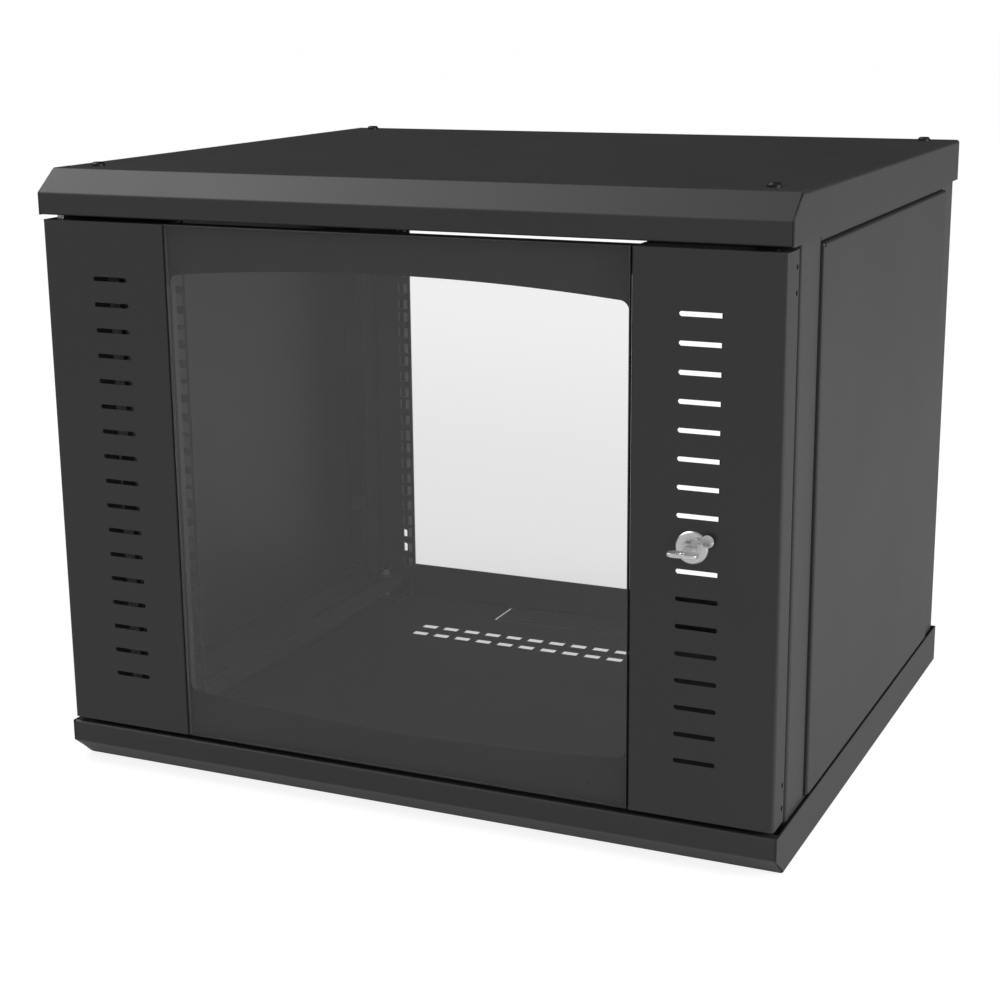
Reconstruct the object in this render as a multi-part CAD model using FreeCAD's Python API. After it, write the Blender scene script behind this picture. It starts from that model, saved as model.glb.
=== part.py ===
import FreeCAD, Part
import math
import os

from FreeCAD import Vector

# Wall mount network cabinet, 9 rack units, flat-pack steel with a glass door.
# Millimetres. X runs across the width, Y from the door to the wall, Z up.
# The origin is the middle of the base sheet's underside.

# Rack standard, which sets the width between the rails
rack_unit = 44.45
rack_units = 9
rack_opening = 450.0
rack_hole = 9.5
rack_hole_inset = 7.55
rack_hole_steps = (6.35, 22.225, 38.1)

# Body round the rack space
side_room = 75.0
depth = 520.0
height = 484.0

# Sheet metal
tray_sheet = 1.2
frame_sheet = 1.5
door_sheet = 1.2
panel_sheet = 1.0
rail_sheet = 2.0
inner_bend = 0.8

# How far a cut runs past the face it starts from
overcut = 1.0
# Two points closer than this are one
same_point = 1e-6
# How near an edge lies to where it is looked for
edge_near = 0.01

# Roof and base trays
skirt_height = 34.5
chamfer_drop = 17.5
chamfer_run = 20.0
fascia_lip = 8.0
corner_slit = 0.4
tray_bend = 1.6

# Body behind the trays' skirts
skirt_overhang = 3.5
rear_gap = 0.3
weld_plate = 2.5

# Front pillars
door_recess = 34.0
front_pillar_depth = 45.5
front_flange = 34.5
pillar_lip = 12.0
pillar_return = 16.5
cam_notch_below = 34.0
cam_notch_above = 14.0

# Rear pillars
rear_pillar_depth = 38.0
rear_flange = 51.0
wall_hole_d = 9.0
wall_hole_inset = 44.5
wall_hole_heights = (52.5, 67.0)

# Side members, which carry the rack rails
member_top_drop = 40.0
member_bottom_z = 35.2
member_setback = 15.0
member_cap = 34.5

# Frame bolts
bolt_d = 6.0
bolt_clearance = 0.3
bolt_head_d = 10.5
bolt_head_h = 3.2
bolt_length = 16.0
sunk_head_d = 11.6
bolt_inset = 27.0
front_bolt_inset = 43.0
rear_bolt_inset = 20.0
nut_flats = 10.0
nut_height = 5.0
thread_gap = 0.05
bolt_head_bevel = 1.4
socket_corner_r = 2.3
socket_depth = 1.9

# Rack rails
rail_width = 40.0
rail_depth = 30.0
rail_foot_width = 23.0
rail_end_gap = 0.3
front_rail_inset = 85.0
rear_rail_inset = 38.5
rail_bolt_inset = 14.0
rail_bolt_offset = 27.0
rail_slot_gap = 0.35
front_rail_travel = (-10.0, 60.0)
rear_rail_travel = (-150.0, 5.0)
rail_bolt_head_h = 3.0
rail_bolt_grip = 9.0

# Side panels
panel_stand = 2.8
panel_gap = 0.3
panel_flange = 14.0
panel_relief = 3.0
catch_width = 14.0
catch_sheet = 0.8
catch_inset = 70.0
catch_reach = 28.0
catch_root = 1.0
catch_bulge = 1.8

# Door
door_gap = 4.0
door_gap_top = 3.5
door_inset = 3.0
door_depth = 26.0
door_lip = 12.0
door_bend = 1.2
stile_width = 109.5
stile_return = 16.0
vent_slot_length = 31.5
vent_slot_height = 3.6
vent_slot_corner = 1.2
vent_slot_count = 17
vent_slot_pitch = 20.0
vent_slot_inset = 50.0
hinge_hole_d = 4.0
hinge_hole_drops = (11.5, 29.0)
hinge_hole_y = 19.5

# Glass and what holds it
glass_thickness = 5.0
glass_gap = 1.0
glass_bevel = 0.5
print_thickness = 0.3
print_side_height = 37.5
print_arch_rise = 13.5
print_corner_r = 9.0
print_side_margin = 1.5
tape_thickness = 1.0
crossbar_height = 15.0
crossbar_depth = 9.0
crossbar_inset = 5.0

# Door pins
pin_d = 6.0
pin_inset = 12.0
pin_y = 12.0
pin_run_gap = 0.05
pin_collar_d = 10.0
pin_collar_h = 2.0
pin_rise = 8.0
pin_proud = 1.0
collar_gap = 0.3
hinge_plate = 2.0
hinge_plate_lift = 1.7
hinge_plate_reach = 3.0
hinge_plate_width = 21.5
hinge_plate_margin = 1.0
hinge_plate_riser = 22.0
hinge_screw_d = 5.0
hinge_screw_head_d = 9.0
hinge_screw_head_h = 2.6
hinge_screw_inset = 5.5
hinge_screw_rise = 13.6
hinge_screw_grip = 8.0
bracket_plate = 2.0
bracket_height = 32.0
bracket_drop = 3.0
bracket_width = 16.0
bracket_reach = 16.0
rivet_head_d = 7.0
rivet_head_h = 0.9
spring_d = 9.0
spring_gap = 0.2

# Lock
lock_inset = 46.5
lock_drop = 1.5
lock_head_d = 23.5
lock_head_h = 2.6
lock_head_bevel = 0.8
lock_body_d = 18.8
lock_body_flats = 15.8
lock_body_length = 28.0
lock_hole_gap = 0.2
lock_nut_flats = 24.0
lock_nut_h = 5.0
plug_d = 12.0
plug_gap = 0.06
keyway_width = 8.2
keyway_height = 2.2
keyway_depth = 24.0
tail_square = 8.0
cam_face_y = 36.4
cam_plate = 2.0
cam_length = 38.0
cam_width = 14.0
cam_square_gap = 0.1
cam_screw_d = 4.0
cam_screw_head_d = 12.0
cam_screw_head_h = 2.6
key_gap = 0.1
key_insert = 21.0
key_neck = 9.5
key_bow_width = 22.0
key_bow_depth = 14.0
key_bow_plate = 2.6
key_bow_round = 5.0
key_ring_d = 4.0
cover_plate = 0.8
cover_gap = 0.2
cover_arm = 7.4
cover_r = 4.5
cover_pivot = (4.7, 5.6)
cover_open_deg = 4.0
cover_eye_d = 4.4
cover_rivet_d = 2.2
cover_rivet_head_d = 4.0

# Base floor: vent field and the cable knock-out
floor_vent_length = 16.0
floor_vent_width = 10.5
floor_vent_pitch_x = 22.8
floor_vent_pitch_y = 22.0
floor_vent_columns = 17
floor_vent_rows = 2
floor_vent_inset = 103.0
knockout_width = 267.0
knockout_depth = 42.0
knockout_cut = 2.6
knockout_bridge = 4.0
knockout_runs = 3
knockout_inset = 26.5

# Worked out from the sizes above
width = rack_opening + 2 * side_room
front = -depth / 2
rear = depth / 2
half_width = width / 2
body_x = half_width - skirt_overhang
body_top = height - tray_sheet
body_bottom = tray_sheet
body_rear = rear - tray_sheet - rear_gap
mid_z = height / 2
bolt_x = half_width - bolt_inset
front_bolt_y = front + front_bolt_inset
rear_bolt_y = rear - rear_bolt_inset
pillar_front = front + door_recess
bay_front = pillar_front + front_pillar_depth
bay_rear = body_rear - rear_pillar_depth
door_top = height - skirt_height - door_gap_top
door_bottom = skirt_height + door_gap
door_x = half_width - door_inset
door_mid = (door_top + door_bottom) / 2
stile_x = door_x - stile_width
glass_x = stile_x - glass_gap
glass_back = front + glass_thickness
lock_z = door_mid - lock_drop
lock_face = front - lock_head_h
panel_x = body_x + panel_stand
member_top_z = height - member_top_drop
member_inner_x = rack_opening / 2 + member_setback
member_cap_x = body_x - member_cap
rail_bolt_x = rack_opening / 2 + rail_bolt_offset
front_rail_face = front + front_rail_inset
rear_rail_face = rear - rear_rail_inset
vent_slot_x = stile_x + vent_slot_inset
lock_x = stile_x + lock_inset
pin_x = half_width - pin_inset
hinge_plate_outer_x = body_x - hinge_plate_margin
hinge_plate_inner_x = hinge_plate_outer_x - hinge_plate_width

SIDES = {"left": -1.0, "right": 1.0}


def box(x0, x1, y0, y1, z0, z1):
    """A block between two corners, in any order along each axis."""
    low = Vector(min(x0, x1), min(y0, y1), min(z0, z1))
    return Part.makeBox(abs(x1 - x0), abs(y1 - y0), abs(z1 - z0), low)


def rod(x, y, z0, z1, diameter):
    """An upright round bar."""
    return Part.makeCylinder(diameter / 2, abs(z1 - z0), Vector(x, y, min(z0, z1)))


def bar_along_y(x, z, y0, y1, diameter):
    """A round bar along Y."""
    return Part.makeCylinder(diameter / 2, abs(y1 - y0), Vector(x, min(y0, y1), z), Vector(0, 1, 0))


def bar_along_x(y, z, x0, x1, diameter):
    """A round bar along X."""
    return Part.makeCylinder(diameter / 2, abs(x1 - x0), Vector(min(x0, x1), y, z), Vector(1, 0, 0))


def fused(shapes):
    """One solid out of pieces that touch, without the seams between them."""
    whole = shapes[0]
    if len(shapes) > 1:
        whole = shapes[0].fuse(shapes[1:])
    return whole.removeSplitter()


def mirrored_x(shape):
    return shape.mirror(Vector(0, 0, 0), Vector(1, 0, 0))


def mirrored_z(shape):
    return shape.mirror(Vector(0, 0, mid_z), Vector(0, 0, 1))


def mirrored_door(shape):
    """A piece from the door's top, turned over to its foot."""
    return shape.mirror(Vector(0, 0, door_mid), Vector(0, 0, 1))


def on_side(side, shape):
    """The right-hand shape, or its mirror image on the left."""
    return shape if side > 0 else mirrored_x(shape)


def save(name, shape):
    """Write one node."""
    shape.exportStep("parts/" + name + ".step")
    print(name, len(shape.Solids), round(shape.Volume), shape.isValid())


def save_solids(name, solids):
    save(name, Part.makeCompound(solids))


def folded(path, sheet, bend, inside, plane, start, length):
    """A folded strip: its outline drawn along path, the sheet's thickness on
    the inside hand (+1 left of the path, -1 right), with a radius at each
    bend, pushed out by length from start along the third axis."""
    points = [Vector(a, b, 0) for a, b in path]
    count = len(points)
    ways = [(points[i + 1] - points[i]).normalize() for i in range(count - 1)]
    normals = [Vector(-w.y, w.x, 0) * inside for w in ways]
    near = [("point", points[0])]
    far = [("point", points[0] + normals[0] * sheet)]
    for i in range(1, count - 1):
        turn = ways[i - 1].cross(ways[i]).z
        angle = math.atan2(abs(turn), ways[i - 1].dot(ways[i]))
        toward = turn * inside > 0
        face_r = bend + sheet if toward else bend
        back = face_r * math.tan(angle / 2)
        hand = inside if toward else -inside
        entry = points[i] - ways[i - 1] * back
        leave = points[i] + ways[i] * back
        centre = entry + Vector(-ways[i - 1].y, ways[i - 1].x, 0) * hand * face_r
        middle = points[i] - centre
        middle.normalize()
        other_r = face_r - sheet if toward else face_r + sheet
        near.append(("arc", entry, centre + middle * face_r, leave))
        entry_far = entry + normals[i - 1] * sheet
        leave_far = leave + normals[i] * sheet
        far.append(("arc", entry_far, centre + middle * other_r, leave_far))
    near.append(("point", points[-1]))
    far.append(("point", points[-1] + normals[-1] * sheet))
    edges = rounded_path(near) + [Part.makeLine(near[-1][1], far[-1][1])]
    edges += rounded_path(far) + [Part.makeLine(far[0][1], near[0][1])]
    face = Part.Face(Part.Wire(Part.__sortEdges__(edges)))
    solid = face.extrude(Vector(0, 0, length))
    solid.transformShape(PLANES[plane](start))
    return solid


def rounded_path(stops):
    """Straight edges and arcs through a list of points and arcs."""
    edges = []
    here = stops[0][1]
    for stop in stops[1:]:
        if here.distanceToPoint(stop[1]) > same_point:
            edges.append(Part.makeLine(here, stop[1]))
        here = stop[-1]
        if stop[0] == "arc":
            edges.append(Part.Arc(stop[1], stop[2], stop[3]).toShape())
    return edges


def plane_xy(z):
    """Drawn in X and Y, pushed along +Z."""
    return FreeCAD.Matrix(1, 0, 0, 0, 0, 1, 0, 0, 0, 0, 1, z, 0, 0, 0, 1)


def plane_yz(x):
    """Drawn in Y and Z, pushed along +X."""
    return FreeCAD.Matrix(0, 0, 1, x, 1, 0, 0, 0, 0, 1, 0, 0, 0, 0, 0, 1)


def plane_zx(y):
    """Drawn in Z and X, pushed along +Y."""
    return FreeCAD.Matrix(0, 1, 0, 0, 0, 0, 1, y, 1, 0, 0, 0, 0, 0, 0, 1)


PLANES = {"xy": plane_xy, "yz": plane_yz, "zx": plane_zx}


def slot_along_x(x, z, y0, y1, length, thickness, corner):
    """A slot across the width with its four corners cut off, cut along Y."""
    a = length / 2
    b = thickness / 2
    around = [(a, b - corner), (a - corner, b), (corner - a, b), (-a, b - corner),
              (-a, corner - b), (corner - a, -b), (a - corner, -b), (a, corner - b), (a, b - corner)]
    outline = Part.makePolygon([Vector(x + i, y0, z + j) for i, j in around])
    return Part.Face(outline).extrude(Vector(0, y1 - y0, 0))


def slot_along_y(x, z0, z1, y0, y1, thickness):
    """A round-ended slot along the depth, cut along Z."""
    ends = [rod(x, y, z0, z1, thickness) for y in (y0, y1)]
    return ends + [box(x - thickness / 2, x + thickness / 2, y0, y1, z0, z1)]


def hexagon(centre, flats, thickness, axis):
    """A hexagon block from centre along axis."""
    corner = flats / math.sqrt(3)
    points = []
    for i in range(7):
        turn = math.radians(60 * i + 30)
        points.append(Vector(corner * math.cos(turn), corner * math.sin(turn), 0))
    block = Part.Face(Part.makePolygon(points)).extrude(Vector(0, 0, thickness))
    block.Placement = FreeCAD.Placement(centre, FreeCAD.Rotation(Vector(0, 0, 1), axis))
    return block


def hexagon_nut(centre, flats, thickness, hole_d, axis):
    """A hexagon nut from centre along axis."""
    bore = Part.makeCylinder(hole_d / 2, thickness, centre, axis)
    return hexagon(centre, flats, thickness, axis).cut(bore)


def frame_bolt_places():
    """Where the trays are bolted to the pillars."""
    return [(s * bolt_x, y) for s in (-1, 1) for y in (front_bolt_y, rear_bolt_y)]


# --- Roof and base trays -------------------------------------------------

def tray():
    """The roof: one folded sheet with four skirts, the front edge bevelled,
    and a stiffening lip behind the fascia. The base is its mirror image."""
    low = height - skirt_height
    crown_front = front + chamfer_run
    inner_x = half_width - tray_sheet
    channel = [(low, -half_width), (height, -half_width), (height, half_width), (low, half_width)]
    shell = folded(channel, tray_sheet, tray_bend, 1, "zx", crown_front, depth - chamfer_run)
    fascia = [(front + fascia_lip, low), (front, low), (front, height - chamfer_drop),
              (crown_front, height), (crown_front + chamfer_run, height)]
    fascia_x = inner_x - corner_slit
    nose = folded(fascia, tray_sheet, tray_bend, -1, "yz", -fascia_x, 2 * fascia_x)
    cheek_points = [(front, low), (front, height - chamfer_drop), (crown_front, height - tray_bend),
                    (crown_front, low), (front, low)]
    cheeks = []
    for x in (-half_width, inner_x):
        outline = Part.makePolygon([Vector(x, y, z) for y, z in cheek_points])
        cheeks.append(Part.Face(outline).extrude(Vector(tray_sheet, 0, 0)))
    back = box(-inner_x, inner_x, rear - tray_sheet, rear, low, height - tray_sheet / 2)
    return fused([shell, nose, back] + cheeks)


def roof_panel():
    """The roof tray with its four bolt holes."""
    hole_d = bolt_d + 2 * bolt_clearance
    holes = [rod(x, y, height - 2 * tray_sheet, height + overcut, hole_d) for x, y in frame_bolt_places()]
    return tray().cut(holes)


def sunk_seat(x, y):
    """The cone that a flat-headed bolt sits in, from the base's underside."""
    top_d = bolt_d + 2 * bolt_clearance
    wide_d = sunk_head_d + 2 * thread_gap
    drop = (wide_d - top_d) / 2
    return Part.makeCone(wide_d / 2, top_d / 2, drop, Vector(x, y, 0))


def floor_vents():
    """Two rows of short vents."""
    cuts = []
    for row in range(floor_vent_rows):
        y = rear - floor_vent_inset + (row - (floor_vent_rows - 1) / 2) * floor_vent_pitch_y
        for column in range(floor_vent_columns):
            x = (column - (floor_vent_columns - 1) / 2) * floor_vent_pitch_x
            cuts.append(box(x - floor_vent_length / 2, x + floor_vent_length / 2,
                            y - floor_vent_width / 2, y + floor_vent_width / 2, -overcut, 2 * tray_sheet))
    return cuts


def knockout_outline():
    """The cut line round the cable knock-out, with bridges along its length."""
    x = knockout_width / 2
    y0 = rear - knockout_inset - knockout_depth / 2
    y1 = y0 + knockout_depth
    top = 2 * tray_sheet
    cuts = [box(s * x, s * (x - knockout_cut), y0, y1, -overcut, top) for s in (-1, 1)]
    span = (2 * x - (knockout_runs - 1) * knockout_bridge) / knockout_runs
    for y in (y0, y1 - knockout_cut):
        for i in range(knockout_runs):
            left = -x + i * (span + knockout_bridge)
            cuts.append(box(left, left + span, y, y + knockout_cut, -overcut, top))
    return cuts


def base_panel():
    """The base tray with sunk bolt seats, floor vents and the knock-out."""
    hole_d = bolt_d + 2 * bolt_clearance
    holes = [rod(x, y, -overcut, 2 * tray_sheet, hole_d) for x, y in frame_bolt_places()]
    seats = [sunk_seat(x, y) for x, y in frame_bolt_places()]
    return mirrored_z(tray()).cut(holes + seats + floor_vents() + knockout_outline())


# --- Frame ---------------------------------------------------------------

def end_plates(x0, x1, y0, y1, bolt_y):
    """The welded plates at a pillar's two ends, drilled for the tray bolts."""
    hole_d = bolt_d + 2 * bolt_clearance
    top = box(x0, x1, y0, y1, body_top - weld_plate, body_top)
    top = top.cut(rod(bolt_x, bolt_y, 0, height, hole_d))
    foot = box(x0, x1, y0, y1, body_bottom, body_bottom + weld_plate)
    foot = foot.cut([rod(bolt_x, bolt_y, 0, height / 2, hole_d), sunk_seat(bolt_x, bolt_y)])
    return [top, foot]


def front_pillar():
    """The right front pillar: a folded post whose front flange has a lip,
    notched where the door's cam swings through."""
    inner = body_x - front_flange
    path = [(inner, pillar_front + pillar_lip), (inner, pillar_front), (body_x, pillar_front),
            (body_x, bay_front), (body_x - pillar_return, bay_front)]
    post = folded(path, frame_sheet, inner_bend, 1, "xy", body_bottom, body_top - body_bottom)
    notch = box(inner - overcut, inner + 3 * frame_sheet, pillar_front + frame_sheet,
                pillar_front + pillar_lip + overcut,
                lock_z - cam_notch_below, lock_z + cam_notch_above)
    plates = end_plates(inner + frame_sheet, body_x - frame_sheet, pillar_front + frame_sheet,
                        bay_front - frame_sheet, front_bolt_y)
    screws = [bar_along_y(x, z, pillar_front - overcut, pillar_front + 2 * frame_sheet,
                          hinge_screw_d + 2 * thread_gap) for x, z in hinge_screw_places()]
    screws += [mirrored_z(screw) for screw in screws]
    return fused([post] + plates).cut([notch] + screws)


def rear_pillar():
    """The right rear pillar, with its wall-fixing holes."""
    inner = body_x - rear_flange
    path = [(body_x - pillar_return, bay_rear), (body_x, bay_rear), (body_x, body_rear),
            (inner, body_rear), (inner, body_rear - pillar_lip)]
    post = folded(path, frame_sheet, inner_bend, 1, "xy", body_bottom, body_top - body_bottom)
    plates = end_plates(inner + frame_sheet, body_x - frame_sheet, bay_rear + frame_sheet,
                        body_rear - frame_sheet, rear_bolt_y)
    x = half_width - wall_hole_inset
    holes = []
    for z in wall_hole_heights:
        for hole_z in (z, height - z):
            holes.append(bar_along_y(x, hole_z, body_rear - 3 * frame_sheet, rear, wall_hole_d))
    return fused([post] + plates).cut(holes)


def side_member(at_top):
    """The right upper or lower member between the pillars. Its inner flange
    is slotted for the rack rails' bolts."""
    face = member_top_z if at_top else member_bottom_z
    cap = body_top if at_top else body_bottom
    lip = pillar_lip if at_top else -pillar_lip
    path = [(face + lip, member_inner_x), (face, member_inner_x), (face, body_x),
            (cap, body_x), (cap, member_cap_x)]
    inside = -1 if at_top else 1
    channel = folded(path, frame_sheet, inner_bend, inside, "zx", bay_front, bay_rear - bay_front)
    cuts = []
    for rest_y, travel in ((front_bolt_rest(), front_rail_travel), (rear_bolt_rest(), rear_rail_travel)):
        cuts += slot_along_y(rail_bolt_x, face - 2 * frame_sheet, face + 2 * frame_sheet,
                             rest_y + travel[0], rest_y + travel[1], bolt_d + 2 * rail_slot_gap)
    return channel.cut(cuts)


def front_bolt_rest():
    return front_rail_face + rail_bolt_inset


def rear_bolt_rest():
    return rear_rail_face - rail_bolt_inset


def top_bolt(x, y):
    """A round-headed bolt through the roof."""
    shoulder = height + bolt_head_h - bolt_head_bevel
    crown_r = bolt_head_d / 2 - bolt_head_bevel
    head = rod(x, y, height, shoulder, bolt_head_d)
    crown = Part.makeCone(bolt_head_d / 2, crown_r, bolt_head_bevel, Vector(x, y, shoulder))
    shank = rod(x, y, height - bolt_length, height, bolt_d)
    return fused([head, crown, shank]).cut(socket_cut(x, y, height + bolt_head_h, 1))


def socket_cut(x, y, z, way):
    """The hexagon socket in a bolt's head, sunk from z against way."""
    points = []
    for i in range(7):
        turn = math.radians(60 * i)
        points.append(Vector(x + socket_corner_r * math.cos(turn), y + socket_corner_r * math.sin(turn),
                             z + way * overcut))
    return Part.Face(Part.makePolygon(points)).extrude(Vector(0, 0, -way * (overcut + socket_depth)))


def bottom_bolt(x, y):
    """A flat-headed bolt, flush with the base's underside."""
    drop = (sunk_head_d - bolt_d) / 2
    head = Part.makeCone(sunk_head_d / 2, bolt_d / 2, drop, Vector(x, y, 0))
    return fused([head, rod(x, y, drop, bolt_length, bolt_d)]).cut(socket_cut(x, y, 0, -1))


def weld_nuts():
    """The nuts welded behind the pillars' end plates."""
    nuts = []
    for x, y in frame_bolt_places():
        hole_d = bolt_d + 2 * thread_gap
        top = Vector(x, y, body_top - weld_plate - nut_height)
        foot = Vector(x, y, body_bottom + weld_plate)
        nuts.append(hexagon_nut(top, nut_flats, nut_height, hole_d, Vector(0, 0, 1)))
        nuts.append(hexagon_nut(foot, nut_flats, nut_height, hole_d, Vector(0, 0, 1)))
    return nuts


# --- Rack rails ----------------------------------------------------------

def rack_rail(front_rail):
    """A right-hand rack rail: an angle with three square holes to each rack
    unit and a foot at each end. A rear rail faces the wall."""
    way = 1.0 if front_rail else -1.0
    face_y = front_rail_face if front_rail else rear_rail_face
    inner = rack_opening / 2
    outer = inner + rail_width
    low = member_bottom_z + rail_end_gap
    high = member_top_z - rail_end_gap
    path = [(inner, face_y), (outer, face_y), (outer, face_y + way * rail_depth)]
    rail = folded(path, rail_sheet, inner_bend, way, "xy", low, high - low)
    foot_x = outer - rail_sheet
    back_y = face_y + way * rail_depth
    feet = [box(foot_x - rail_foot_width, foot_x, face_y + way * rail_sheet, back_y, z, z + rail_sheet)
            for z in (low, high - rail_sheet)]
    bolt_y = face_y + way * rail_bolt_inset
    cuts = [rod(rail_bolt_x, bolt_y, low - overcut, high + overcut, bolt_d + 2 * thread_gap)]
    first = mid_z - rack_units * rack_unit / 2
    hole_x = inner + rack_hole_inset
    for unit in range(rack_units):
        for step in rack_hole_steps:
            z = first + unit * rack_unit + step
            cuts.append(box(hole_x - rack_hole / 2, hole_x + rack_hole / 2, face_y - way * rail_sheet,
                            face_y + 2 * way * rail_sheet, z - rack_hole / 2, z + rack_hole / 2))
    return fused([rail] + feet).cut(cuts)


def rail_bolt_set(front_rail):
    """The right-hand rail's two hexagon bolts, each with its head inside a member."""
    y = front_bolt_rest() if front_rail else rear_bolt_rest()
    top_seat = member_top_z + frame_sheet
    low_seat = member_bottom_z - frame_sheet
    up = Vector(0, 0, 1)
    top_head = hexagon(Vector(rail_bolt_x, y, top_seat), nut_flats, rail_bolt_head_h, up)
    low_head = hexagon(Vector(rail_bolt_x, y, low_seat - rail_bolt_head_h), nut_flats, rail_bolt_head_h, up)
    upper = fused([top_head,
                   rod(rail_bolt_x, y, top_seat - frame_sheet - rail_bolt_grip, top_seat, bolt_d)])
    lower = fused([low_head,
                   rod(rail_bolt_x, y, low_seat, low_seat + frame_sheet + rail_bolt_grip, bolt_d)])
    return [upper, lower]


def rail_nut_set(front_rail):
    """The nuts that clamp a right-hand rail's feet."""
    y = front_bolt_rest() if front_rail else rear_bolt_rest()
    hole_d = bolt_d + 2 * thread_gap
    top = Vector(rail_bolt_x, y, member_top_z - rail_end_gap - rail_sheet - nut_height)
    foot = Vector(rail_bolt_x, y, member_bottom_z + rail_end_gap + rail_sheet)
    return [hexagon_nut(place, nut_flats, nut_height, hole_d, Vector(0, 0, 1)) for place in (top, foot)]


# --- Side panels ---------------------------------------------------------

def side_panel():
    """The right side panel: a shallow pan that stands proud of the frame,
    with its four flanges inside the frame's opening."""
    y0 = bay_front + panel_gap
    y1 = bay_rear - panel_gap
    z0 = member_bottom_z + panel_gap
    z1 = member_top_z - panel_gap
    inner = panel_x - panel_flange
    upright = [(inner, y0), (panel_x, y0), (panel_x, y1), (inner, y1)]
    level = [(z0, inner), (z0, panel_x), (z1, panel_x), (z1, inner)]
    corner = panel_relief
    skin = folded(upright, panel_sheet, inner_bend, 1, "xy", z0 + corner, z1 - z0 - 2 * corner)
    ends = folded(level, panel_sheet, inner_bend, -1, "zx", y0 + corner, y1 - y0 - 2 * corner)
    return fused([skin, ends])


def panel_catches():
    """Spring tongues on the right panel's upright flanges. Each reaches in
    past its pillar's return and bulges back beside it."""
    solids = []
    flange_tip = panel_x - panel_flange
    seat = bay_front + panel_gap + panel_sheet
    bulge = seat + catch_sheet - catch_bulge
    tip = flange_tip - catch_reach / 2
    path = [(panel_x - 2 * panel_sheet - inner_bend, seat + catch_sheet),
            (flange_tip - catch_root, seat + catch_sheet),
            (flange_tip - catch_reach / 4, bulge + catch_sheet), (tip, seat + catch_sheet)]
    for z in (member_bottom_z + catch_inset, member_top_z - catch_inset):
        tongue = folded(path, catch_sheet, inner_bend, 1, "xy", z - catch_width / 2, catch_width)
        middle_y = (bay_front + bay_rear) / 2
        solids.append(tongue)
        solids.append(tongue.mirror(Vector(0, middle_y, 0), Vector(0, 1, 0)))
    return solids


# --- Door ----------------------------------------------------------------

def vent_slots():
    """The right stile's column of slots, without the place the lock takes."""
    cuts = []
    for i in range(vent_slot_count):
        cuts.append(slot_along_x(vent_slot_x, vent_slot_z(i), front - overcut, front + 2 * door_sheet,
                                 vent_slot_length, vent_slot_height, vent_slot_corner))
    return cuts


def vent_slot_z(i):
    return door_mid + ((vent_slot_count - 1) / 2 - i) * vent_slot_pitch


def door_stile(has_lock):
    """A right-hand door stile: the slotted front face, a deep outer flange
    with a lip, a shallow inner return beside the glass, and closed ends."""
    path = [(stile_x, front + stile_return), (stile_x, front), (door_x, front),
            (door_x, front + door_depth), (door_x - door_lip, front + door_depth)]
    post = folded(path, door_sheet, door_bend, 1, "xy", door_bottom, door_top - door_bottom)
    x0 = stile_x + door_sheet / 2
    x1 = door_x - door_sheet / 2
    ends = [box(x0, x1, front + door_sheet / 2, front + door_depth - door_sheet / 2, z, z + door_sheet)
            for z in (door_bottom, door_top - door_sheet)]
    slots = vent_slots()
    if has_lock:
        slots.pop(vent_slot_count // 2)
    cuts = list(slots)
    if has_lock:
        cuts.append(lock_hole())
    cuts += [rod(pin_x, front + pin_y, z - overcut, z + 2 * door_sheet, pin_d + 2 * thread_gap)
             for z in (door_bottom, door_top - door_sheet)]
    for z in hinge_hole_heights():
        cuts.append(bar_along_x(front + hinge_hole_y, z, door_x - 3 * door_sheet, half_width, hinge_hole_d))
    return fused([post] + ends).cut(cuts)


def hinge_hole_heights():
    """The heights of the small holes in the stile's outer flange."""
    heights = [door_top - drop for drop in hinge_hole_drops]
    return heights + [door_bottom + drop for drop in hinge_hole_drops]


def flatted_round(diameter, flats, y0, y1):
    """A round bar along Y at the lock, with flats above and below."""
    bar = bar_along_y(lock_x, lock_z, y0, y1, diameter)
    keep = box(lock_x - diameter, lock_x + diameter, y0, y1, lock_z - flats / 2, lock_z + flats / 2)
    return bar.common(keep)


def lock_hole():
    """The stile's hole for the lock body."""
    return flatted_round(lock_body_d + 2 * lock_hole_gap, lock_body_flats + 2 * lock_hole_gap,
                         front - overcut, front + 3 * door_sheet)


def door_glass():
    """The toughened pane between the stiles, its edges ground to a bevel."""
    pane = box(-glass_x, glass_x, front, glass_back, door_bottom, door_top)
    return pane.makeChamfer(glass_bevel, pane.Edges)


def printed_band():
    """The black print along the pane's top. Its lower edge is an arch that
    ends in small round corners at the clear window's sides."""
    x = glass_x - print_side_margin
    top = door_top - glass_bevel
    shoulder = door_top - print_side_height
    crown = shoulder + print_arch_rise
    y = glass_back
    outer = box(-glass_x + glass_bevel, glass_x - glass_bevel, y, y + print_thickness,
                shoulder - print_corner_r, top)
    arch = Part.Arc(Vector(-x, y, shoulder), Vector(0, y, crown), Vector(x, y, shoulder)).toShape()
    sides = Part.makePolygon([Vector(x, y, shoulder), Vector(x, y, shoulder - 2 * print_corner_r),
                              Vector(-x, y, shoulder - 2 * print_corner_r), Vector(-x, y, shoulder)])
    window = Part.Face(Part.Wire([arch] + sides.Edges)).extrude(Vector(0, print_thickness, 0))
    through = [edge for edge in window.Edges if edge.BoundBox.YLength > print_thickness / 2]
    upright = [edge for edge in through if abs(edge.CenterOfMass.z - shoulder) < edge_near]
    window = window.makeFillet(print_corner_r, upright)
    return outer.cut(window)


def crossbar():
    """The channel behind the print at the pane's top, between the stiles."""
    face = glass_back + print_thickness + tape_thickness
    high = door_top - crossbar_inset
    low = high - crossbar_height
    path = [(face + crossbar_depth, low), (face, low), (face, high), (face + crossbar_depth, high)]
    return folded(path, door_sheet, inner_bend, -1, "yz", -stile_x, 2 * stile_x)


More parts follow.
